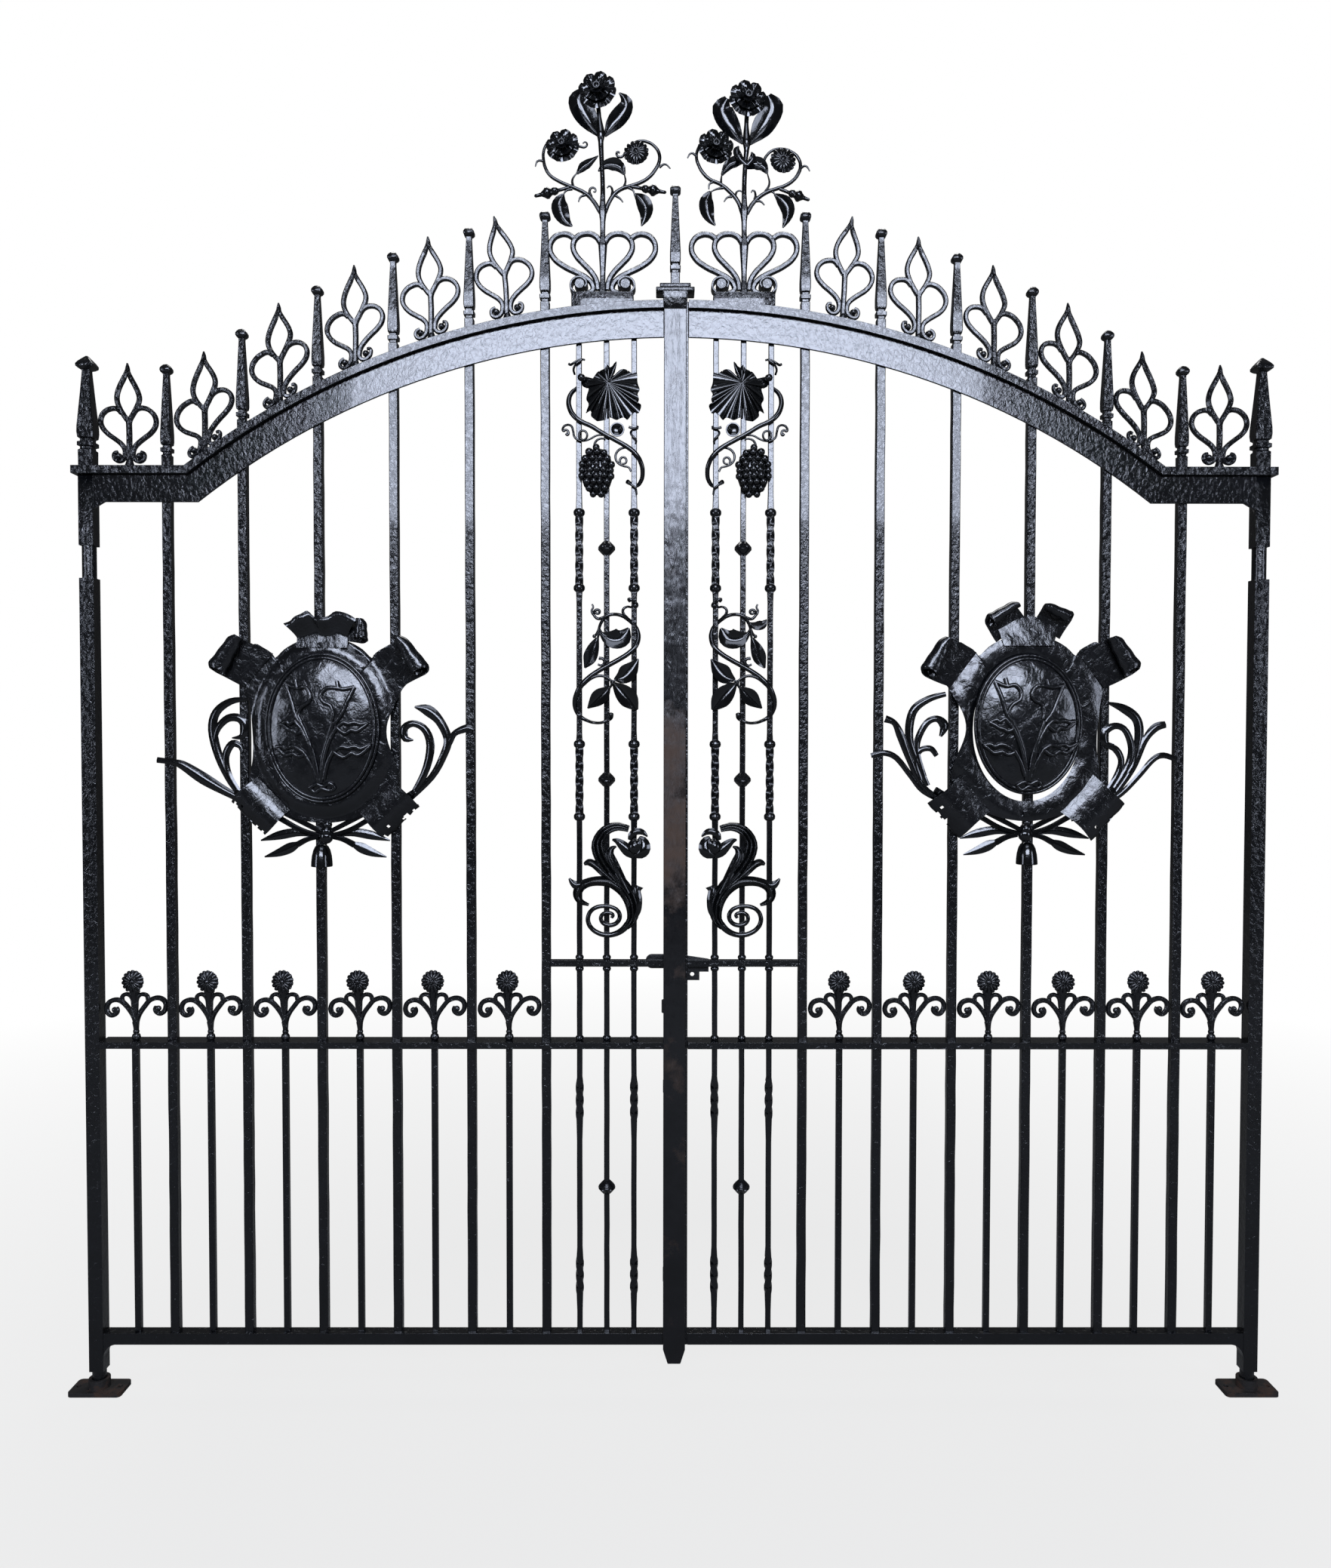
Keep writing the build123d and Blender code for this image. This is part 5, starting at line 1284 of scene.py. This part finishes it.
shield = {
    "ringBack": 24.5,  # where the three pieces are drawn from, ahead of the middle of the leaf
    "domeBack": 40.0,
    "reedsBack": 17.5,
    "outline": [(0, 250), (40, 248), (75, 238), (108, 219), (134, 195), (147, 211), (168, 224),
                (192, 234), (212, 214), (230, 174), (234, 132), (216, 106), (203, 70), (194, 20),
                (190, -25), (194, -75), (203, -118), (207, -146), (184, -182), (150, -212), (113, -238),
                (60, -256), (0, -263), (-60, -256), (-112, -238), (-150, -212), (-186, -182),
                (-208, -146), (-204, -118), (-196, -75), (-191, -25), (-194, 20), (-203, 70), (-218, 108),
                (-236, 132), (-232, 174), (-212, 214), (-190, 234), (-168, 224), (-147, 211), (-134, 195),
                (-108, 219), (-75, 238), (-40, 248), (0, 250)],
    "rivet": 15.0,
    "domeRise": 24.0,
    "bead": 9.0,
    "beadInsets": (0.0, 9.0),
    "beadOut": 3.5,  # of the beads and the relief above the dome
    "reliefOut": 5.0,
    "waistReach": 110.0,
    "roll": [(-8, 4), (16, 6), (40, 9), (64, 12), (86, 16), (100, 26), (98, 38), (84, 46), (68, 44),
             (58, 36), (62, 27), (74, 25), (82, 31)],
    "rolling": {  # how the flat strap becomes a roll: where from, how it opens, where its corners are cut
        "from": 62.0, "opening": 0.28, "corner": 0.9, "cornerFrom": 0.72, "cut": 0.55, "highest": 47.0,
    },
    "holes": ((0.66, 0.2, 0.0016), (0.52, -0.5, 0.001), (0.72, -0.3, 0.003)),
    "topLugFoot": 222,
    "backRoll": [(-14, 4), (10, 15), (36, 20), (62, 18), (84, 8), (95, -3), (88, -9), (74, -7)],
    "crumpled": [(-102, 287), (-84, 294), (-71, 305), (-52, 314), (-37, 322), (-18, 306), (4, 303),
                 (22, 308), (42, 321), (76, 313), (100, 298)],
    "left": {
        "place": (-973.5, 1877.7),
        "opening": (140, 188, 0, 0),
        "medallion": (154, 203, 0, 0),
        "bulge": (12.0, 60.0),
        "waist": (1.03, 0.92),  # times the drawn outline, left and right
        "rolls": [(-186, 164, 153, 60, 1.05, "roll", -14), (184, 162, 29, 60, 0.95, "roll", 12),
                  (54, 276, -10, 33, 0.74, "roll", 0), (-150, -190, 224, 66, 0.92, "backRoll", 0),
                  (150, -192, -46, 66, 1.0, "backRoll", 0)],
        "crumple": True,
        "rivets": [(-6, 230)],
        "bellAt": -14.0,
    },
    "right": {
        "place": (976.6, 1885.5),
        "opening": (150, 201, 0, -8),
        "medallion": (146, 190, 0, 5),
        "bulge": (9.0, 78.0),
        "waist": (0.88, 1.02),
        "rolls": [(-184, 160, 157, 60, 0.98, "roll", -14), (184, 158, 26, 60, 1.05, "roll", 12),
                  (-48, 268, 127, 50, 0.66, "roll", 0), (54, 268, 60, 44, 0.64, "roll", 0),
                  (-150, -192, 222, 64, 1.1, "backRoll", 0), (150, -194, -42, 67, 1.15, "backRoll", 0)],
        "crumple": False,
        "rivets": [(4, 226), (-2, -240)],
        "bellAt": 11.0,
    },
    # raised lines on the medallion: two arum lilies, four serrated leaves, their stems and a bow
    "relief": [
        [(-97, 124), (-66, 110), (-42, 113), (-27, 96), (-29, 73), (-48, 60), (-60, 40), (-50, 17)],
        [(-95, 122), (-79, 80), (-64, 30), (-50, 14)], [(-68, 132), (-62, 108)],
        [(-50, 14), (-35, -20), (-18, -70), (-8, -130), (-8, -150)],
        [(93, 113), (64, 107), (48, 110), (19, 110), (2, 90), (11, 71), (30, 62), (36, 40), (32, 20)],
        [(93, 113), (75, 75), (60, 40), (40, 12)], [(46, 129), (50, 110)],
        [(36, 14), (22, -30), (6, -85), (0, -150)],
        [(-110, 10), (-92, 18), (-84, 12), (-70, 20), (-62, 12), (-48, -6), (-62, -14), (-72, -8),
         (-86, -4), (-98, 4), (-110, 10)],
        [(-48, -6), (-28, -50), (-10, -120)],
        [(-124, -52), (-106, -50), (-96, -56), (-80, -50), (-62, -55), (-42, -70), (-60, -78), (-76, -70),
         (-96, -74), (-112, -62), (-124, -52)],
        [(-42, -70), (-25, -100), (-12, -138)],
        [(46, 2), (64, 16), (78, 12), (94, 16), (110, 11), (128, 14), (112, 0), (98, -8), (84, -4),
         (68, -14), (46, 2)],
        [(46, 2), (26, -34), (12, -80), (4, -130)],
        [(36, -64), (58, -51), (76, -54), (94, -50), (110, -56), (134, -46), (118, -64), (100, -74),
         (84, -68), (62, -80), (36, -64)],
        [(36, -64), (20, -95), (8, -140)],
        [(-32, -164), (-12, -153), (4, -160), (24, -151), (36, -165), (20, -172), (0, -166), (-18, -177),
         (-32, -164)],
    ],
    "reliefBar": 12.0,
    "reedWidening": 1.25,
    "reeds": {
        "left": [
            ([(-120, -250), (-200, -214), (-270, -180), (-340, -140), (-395, -104), (-425, -94),
              (-468, -88)], [6, 7, 9, 13, 10, 6, 6]),
            ([(-230, -190), (-262, -150), (-296, -80), (-313, -5), (-302, 45), (-262, 75), (-212, 82)],
              [6, 8, 9, 10, 9, 7, 3]),
            ([(-308, -40), (-298, 0), (-270, 28), (-238, 28), (-224, 6), (-232, -22), (-258, -27)],
              [4, 7, 8, 9, 9, 6, 1]),
            ([(-238, -182), (-270, -130), (-278, -80), (-260, -44), (-238, -48), (-232, -68)],
              [6, 8, 8, 8, 6, 1.5]),
            ([(230, -200), (296, -135), (330, -73), (341, -28), (318, 22), (285, 51), (250, 60)],
              [6, 7, 8, 9, 10, 12, 1.5]),
            ([(322, -88), (345, -40), (360, -14), (384, -2), (400, 1), (412, -3)], [5, 7, 6, 8, 8, 3]),
            ([(240, -190), (278, -120), (293, -50), (279, -4), (247, 14), (221, 2), (222, -26),
              (246, -32)], [6, 8, 9, 8, 7, 8, 8, 1.5]),
        ],
        "right": [
            ([(-130, -258), (-210, -216), (-281, -181), (-317, -139), (-358, -88), (-394, -74),
              (-429, -82)], [6, 6, 6, 6, 6, 6, 5]),
            ([(-240, -200), (-287, -163), (-323, -86), (-346, -27), (-364, 9), (-390, 21)],
              [5, 6, 8, 9, 6, 8]),
            ([(-270, -165), (-311, -74), (-323, -15), (-311, 44), (-269, 76), (-222, 90)],
              [5, 7, 9, 9, 7, 5]),
            ([(-280, -140), (-299, -80), (-299, -38), (-275, 9), (-246, 21), (-225, 2), (-236, -28)],
              [5, 6, 7, 7, 7, 10, 3]),
            ([(-290, -150), (-305, -104), (-293, -68), (-263, -62), (-246, -82)], [5, 6, 6, 6, 5]),
            ([(130, -258), (210, -222), (269, -188), (317, -139), (358, -92), (388, -80), (423, -92)],
              [6, 6, 6, 6, 6, 6, 5]),
            ([(240, -205), (270, -165), (305, -110), (335, -38), (364, -3), (392, 6)],
              [5, 6, 7, 7, 9, 7]),
            ([(290, -130), (307, -98), (319, -27), (311, 21), (275, 50), (228, 66)],
              [5, 7, 10, 10, 9, 2]),
            ([(246, -182), (287, -115), (299, -62), (281, -12), (252, 2), (224, -14), (226, -48),
              (248, -50)], [6, 8, 8, 7, 7, 9, 8, 1.5]),
            ([(236, -175), (263, -127), (269, -92), (252, -62), (222, -54)], [6, 7, 7, 7, 3]),
        ],
    },
    "stems": [[(-8, -300), (-64, -284), (-120, -254), (-190, -212), (-250, -176)],
              [(4, -296), (-50, -268), (-110, -236), (-180, -196)],
              [(-20, -302), (-48, -308), (-80, -324)]],
    "stemBar": 15.0,
    "stemCorner": 3.0,
    "knots": ((4, -286, 17.0, 1.0), (2, -302, 20.0, 0.7), (6, -268, 13.0, 1.0)),
    "tips": [([(-40, -298), (-80, -290), (-130, -298), (-180, -312)], [3, 11, 12, 1.5]),
             ([(-72, -320), (-98, -332), (-130, -346), (-170, -358)], [5, 14, 11, 1.5])],
    "bell": [(-386, 1.0), (-384, 1.06), (-372, 1.04), (-356, 0.98), (-340, 0.84), (-330, 0.66),
             (-324, 0.4)],
    "bellWidth": 57.0,
    "bellOut": -12.0,  # the bell hangs round the bar, not in front of it
}


def rolledStrap(root, angle, half, size, profile, bend, missing):
    # a strap leaving the plate at this angle and rolled up at its end; the roll opens towards its lower end
    roll = shield["rolling"]
    line = [(x * size, z, 0) for x, z in profile]
    turn = radians(angle)
    lower = 1 if cos(turn) < 0 else -1
    start = roll["from"] * size

    def place(s, t):
        spot = along(line, s)
        reach = spot.x
        cut = 0.0
        if not missing:
            beyond = spot.x - start
            if beyond > 0 and s > 0.2:
                cornered = max(0.0, abs(t) - roll["cornerFrom"]) ** 1.5 / (1 - roll["cornerFrom"]) ** 0.5
                reach += roll["opening"] * lower * t * beyond - roll["corner"] * beyond * cornered
            cut = roll["cut"] * max(0.0, lower * t) ** 2 * max(0.0, spot.y - 14)
        cross = turn + radians(bend) * (1 - min(1.0, 2.2 * s))
        across = half * t * (1 + 0.03 * sin(9 * s + angle)) - lower * cut
        reach += 1.4 * sin(9 * t + angle) * s
        return (root[0] + reach * cos(turn) - across * sin(cross),
                root[1] + reach * sin(turn) + across * cos(cross), min(roll["highest"], spot.y))

    return shapedSheet(place, 36, 18, 3.0, missing)


def torn(seed):
    # the ragged end and the rusted holes of a lower lug
    def missing(s, t):
        ragged = s > 0.74 + 0.12 * sin(4 * t + seed) + 0.07 * sin(15 * t + 2 * seed)
        holed = any((s - a) ** 2 + (0.5 * (t - b)) ** 2 < area for a, b, area in shield["holes"])
        return ragged or holed

    return missing


def topLug(drawing):
    # left: knocked flat, its torn edge folded forward; right: a neck spreading to the two rolls
    edge = [(u, w, 0) for u, w in shield["crumpled"]]
    foot = shield["topLugFoot"]

    def crumpled(s, t):
        rim = along(edge, (t + 1) / 2)
        folded = max(0.0, s - 0.42) / 0.58
        share = folded ** 1.3
        out = 13 - 10 * min(s, 0.42) + 28 * folded ** 1.2 - 10 * max(0.0, s - 0.9) / 0.1
        out += 3 * sin(9 * t) * folded
        return (70 * t * (1 - share) + rim.x * share, foot + (rim.y - foot) * s, out)

    def spreading(s, t):
        return ((68 + 18 * s) * t, foot + s * (82 - 24 * t * t), 17 - 12 * s + 0.3 * sin(7 * t + 5 * s))

    return shapedSheet(crumpled if drawing["crumple"] else spreading, 18, 30, 3.0)


def plateRing(drawing):
    rim = [(u, w, 0) for u, w in shield["outline"]]
    halfU, halfW, atU, atW = drawing["opening"]
    rise, wide = drawing["bulge"]

    def place(s, t):
        outer = along(rim, (t + 1) / 2)
        nearWaist = cos(pi / 2 * min(1.0, abs(outer.y) / shield["waistReach"])) ** 2
        outer.x *= 1 + (drawing["waist"][outer.x > 0] - 1) * nearWaist
        angle = atan2(outer.x / halfU, outer.y / halfW)
        inner = Vector((atU + halfU * sin(angle), atW + halfW * cos(angle), 0))
        spot = inner + (outer - inner) * s
        reach = (spot - inner).length / wide
        # hammer marks left on the dished plate
        worn = (1.0 * sin(5 * angle + 2) * sin(pi * s) + 0.5 * sin(spot.x / 9) * sin(spot.y / 8)
                + 0.5 * sin(spot.x / 14 + spot.y / 19))
        return (spot.x, spot.y, rise * sin(pi * (0.14 + 0.86 * min(1.0, reach))) + worn)

    return shapedSheet(place, 20, 132, 3.5)


def makeShieldRing(drawing, s):
    parts = [plateRing(drawing)]
    for k, (u, w, angle, half, size, key, bend) in enumerate(drawing["rolls"]):
        missing = torn(k + s) if key == "backRoll" else None
        parts.append(rolledStrap((u, w), angle, half, size, shield[key], bend, missing))
    parts.append(topLug(drawing))
    for u, w in drawing["rivets"]:
        rivet = boxAt((u, w, drawing["bulge"][0] - 1), [shield["rivet"]] * 3, (0.1, 0.12, 0.2))
        addModifier(rivet, "BEVEL", width=2.5 * mm, segments=2)
        parts.append(rivet)
    return joinAll(parts)


def domeOut(drawing, u, w):
    halfU, halfW, atU, atW = drawing["medallion"]
    near = min(1.0, ((u - atU) / halfU) ** 2 + ((w - atW) / halfW) ** 2)
    return shield["domeRise"] * (1 - near) ** 0.75


def makeMedallion(drawing):
    halfU, halfW, atU, atW = drawing["medallion"]

    def place(s, t):
        u, w = atU + halfU * s * sin(pi * t), atW + halfW * s * cos(pi * t)
        return (u, w, domeOut(drawing, u, w) + 0.8 * sin(u / 11.0) * sin(w / 13.0))

    parts = [shapedSheet(place, 16, 64, 3.0)]
    for inset in shield["beadInsets"]:
        oval = []
        for k in range(49):
            turn = pi * k / 24
            u, w = atU + (halfU - inset) * sin(turn), atW + (halfW - inset) * cos(turn)
            oval.append((u, w, domeOut(drawing, u, w) + shield["beadOut"]))
        parts.append(bentBars([oval], shield["bead"], steps=2))
    lines = []
    for drawn in shield["relief"]:
        # three points to each drawn stretch, so that the line follows the dome
        flat = [(u, w, 0) for u, w in drawn]
        count = 3 * (len(drawn) - 1)
        points = [along(flat, k / float(count)) for k in range(count + 1)]
        lines.append([(p.x, p.y, domeOut(drawing, p.x, p.y) + shield["reliefOut"]) for p in points])
    parts.append(bentBars(lines, shield["reliefBar"], steps=1))
    return joinAll(parts)


def makeReeds(side, drawing):
    parts = []
    for spine, widths in shield["reeds"][side]:
        widened = [shield["reedWidening"] * w for w in widths]
        parts.append(leaf(spine, widened, fold=-0.45, ripple=0.8, waves=2, thick=3.0, rows=24))
    for flip in (1, -1):
        stems = [tapered(stem, 0.8, 1.1) for stem in shield["stems"]]
        parts.append(bentBars(stems, shield["stemBar"], corner=shield["stemCorner"], flip=flip))
        for spine, widths in shield["tips"]:
            parts += veined(spine, widths, rib=4.0, flip=flip, fold=-0.3, thick=2.4)
    bell = turned(shield["bell"], shield["bellWidth"], u=drawing["bellAt"])
    bell.location = (0, 0, shield["bellOut"] * mm)
    settle(bell)
    parts.append(bell)
    parts += [ball((u, w), radius, squash) for u, w, radius, squash in shield["knots"]]
    return joinAll(parts)


for side, s in sides.items():
    drawing = shield[side]
    x, z = gate["middle"] + drawing["place"][0], drawing["place"][1]
    for title, piece, back, finish in (
            ("ShieldRing", makeShieldRing(drawing, s), shield["ringBack"], blackEnamelOnBeatenSheet),
            ("ShieldMedallion", makeMedallion(drawing), shield["domeBack"], blackEnamelOnBeatenSheet),
            ("ShieldReeds", makeReeds(side, drawing), shield["reedsBack"], thickEnamelOnScrollwork)):
        offered(standUp(piece, x, -back, z), side + title, finish)
print("shields made")


# floor, light and camera
studio = {
    "floorSize": 60.0,
    "floorPaint": "#7e7e7c",
    "fadeScale": 0.16,  # over its last 1 / 0.16 m towards the gate, the floor's whiteness gives way a little
    "nearAt": 0.8,  # to its paint, and most of all past this share of the way
    "nearShare": 0.80,
    "lampTint": "#d8e1f6",
    "lamps": {  # in metres; all but the last stand in front of the gate
        "skyPanel": {"place": (1.63, -9.0, 5.7), "aim": (1.63, 0.0, 5.7), "size": (6.5, 3.0),
                     "power": 1040.0},
        "highPanel": {"place": (1.63, -5.0, 9.0), "aim": (1.63, 0.0, 2.0), "size": (5.0, 2.6),
                      "power": 170.0},
        "leftPanel": {"place": (-5.5, -5.0, 2.6), "aim": (1.63, 0.0, 1.4), "size": (1.6, 3.0),
                      "power": 120.0},
        "rightPanel": {"place": (8.5, -5.0, 2.6), "aim": (1.63, 0.0, 1.4), "size": (1.6, 3.0),
                       "power": 120.0},
        "backPanel": {"place": (1.63, 4.5, 10.0), "aim": (1.63, 0.0, 2.0), "size": (6.0, 3.0),
                      "power": 260.0, "tint": "#ffffff"},
    },
    "worldFill": 0.04,
    "worldTint": "#eef1f8",
    "mirrored": 0.02,  # how much of the white backdrop the enamel mirrors; all of it would turn it grey
    "camera": {"place": (1.5972, -3.314, 1.8168), "sensor": 36.0, "lens": 27.165,
               "lookDown": 1.610, "lookLeft": -0.128, "roll": 0.061},  # degrees
}
white = (1, 1, 1, 1)


def backdropShare(tree):
    # rays from the camera, or on through glass, meet the white backdrop; mirrored ones meet a dim one
    seen = addNode(tree, "LightPath")
    straight = addNode(tree, "Math", {}, {0: (seen, "Is Camera Ray"), 1: (seen, "Is Transmission Ray")},
                       operation="MAXIMUM")
    mirrored = addNode(tree, "Math", {1: studio["mirrored"]}, {0: (seen, "Is Glossy Ray")},
                       operation="MULTIPLY")
    return addNode(tree, "Math", {}, {0: (straight, 0), 1: (mirrored, 0)}, operation="MAXIMUM")


bpy.ops.mesh.primitive_plane_add(size=studio["floorSize"], location=(gate["middle"] * mm, 0, 0))
floor = bpy.context.object
floor.name = "studioFloor"
paper = bpy.data.materials.new("mattWhitePaperSweep")  # plain pale floor that keeps the gate's shadow near it
paper.use_nodes = True
tree = paper.node_tree
tree.nodes.clear()
where = addNode(tree, "TexCoord")
centred = addNode(tree, "Mapping", {"Scale": [studio["fadeScale"]] * 3}, {"Vector": (where, "Object")})
fall = addNode(tree, "TexGradient", {}, {"Vector": (centred, "Vector")}, gradient_type="SPHERICAL")
kept = addNode(tree, "MapRange",
               {"From Max": studio["nearAt"], "To Min": 1.0, "To Max": studio["nearShare"]},
               {"Value": (fall, "Fac")})
share = addNode(tree, "Math", {}, {0: (kept, "Result"), 1: (backdropShare(tree), 0)}, operation="MULTIPLY")
matt = addNode(tree, "BsdfDiffuse", {"Color": srgb(studio["floorPaint"])})
glow = addNode(tree, "Emission", {"Color": white, "Strength": 1.0})
both = addNode(tree, "MixShader", {}, {0: (share, 0), 1: (matt, "BSDF"), 2: (glow, "Emission")})
addNode(tree, "OutputMaterial", {}, {"Surface": (both, "Shader")})
floor.data.materials.append(paper)

for name, panel in studio["lamps"].items():
    bpy.ops.object.light_add(type="AREA", location=panel["place"])
    lamp = bpy.context.object
    lamp.name = name
    lamp.data.shape = "RECTANGLE"
    lamp.data.size, lamp.data.size_y = panel["size"]
    lamp.data.energy = panel["power"]
    lamp.data.color = srgb(panel.get("tint", studio["lampTint"]))[:3]
    lamp.rotation_euler = (Vector(panel["aim"]) - Vector(panel["place"])).to_track_quat("-Z", "Y").to_euler()

world = bpy.data.worlds.new("paleStudio")
bpy.context.scene.world = world
world.use_nodes = True
tree = world.node_tree
tree.nodes.clear()
fill = addNode(tree, "Background", {"Color": srgb(studio["worldTint"]), "Strength": studio["worldFill"]})
bright = addNode(tree, "Background", {"Color": white, "Strength": 1.0})
both = addNode(tree, "MixShader", {},
               {0: (backdropShare(tree), 0), 1: (fill, "Background"), 2: (bright, "Background")})
addNode(tree, "OutputWorld", {}, {"Surface": (both, "Shader")})

view = studio["camera"]
bpy.ops.object.camera_add(location=view["place"])
camera = bpy.context.object
camera.data.sensor_width = view["sensor"]
camera.data.lens = view["lens"]
sideways = Matrix.Rotation(radians(view["lookLeft"]), 3, "Z")
upright = Matrix.Rotation(radians(90 - view["lookDown"]), 3, "X")
camera.rotation_euler = (sideways @ upright @ Matrix.Rotation(radians(view["roll"]), 3, "Z")).to_euler()
bpy.context.scene.camera = camera
bpy.context.scene.view_settings.view_transform = "Standard"

discard(*profiles.values())
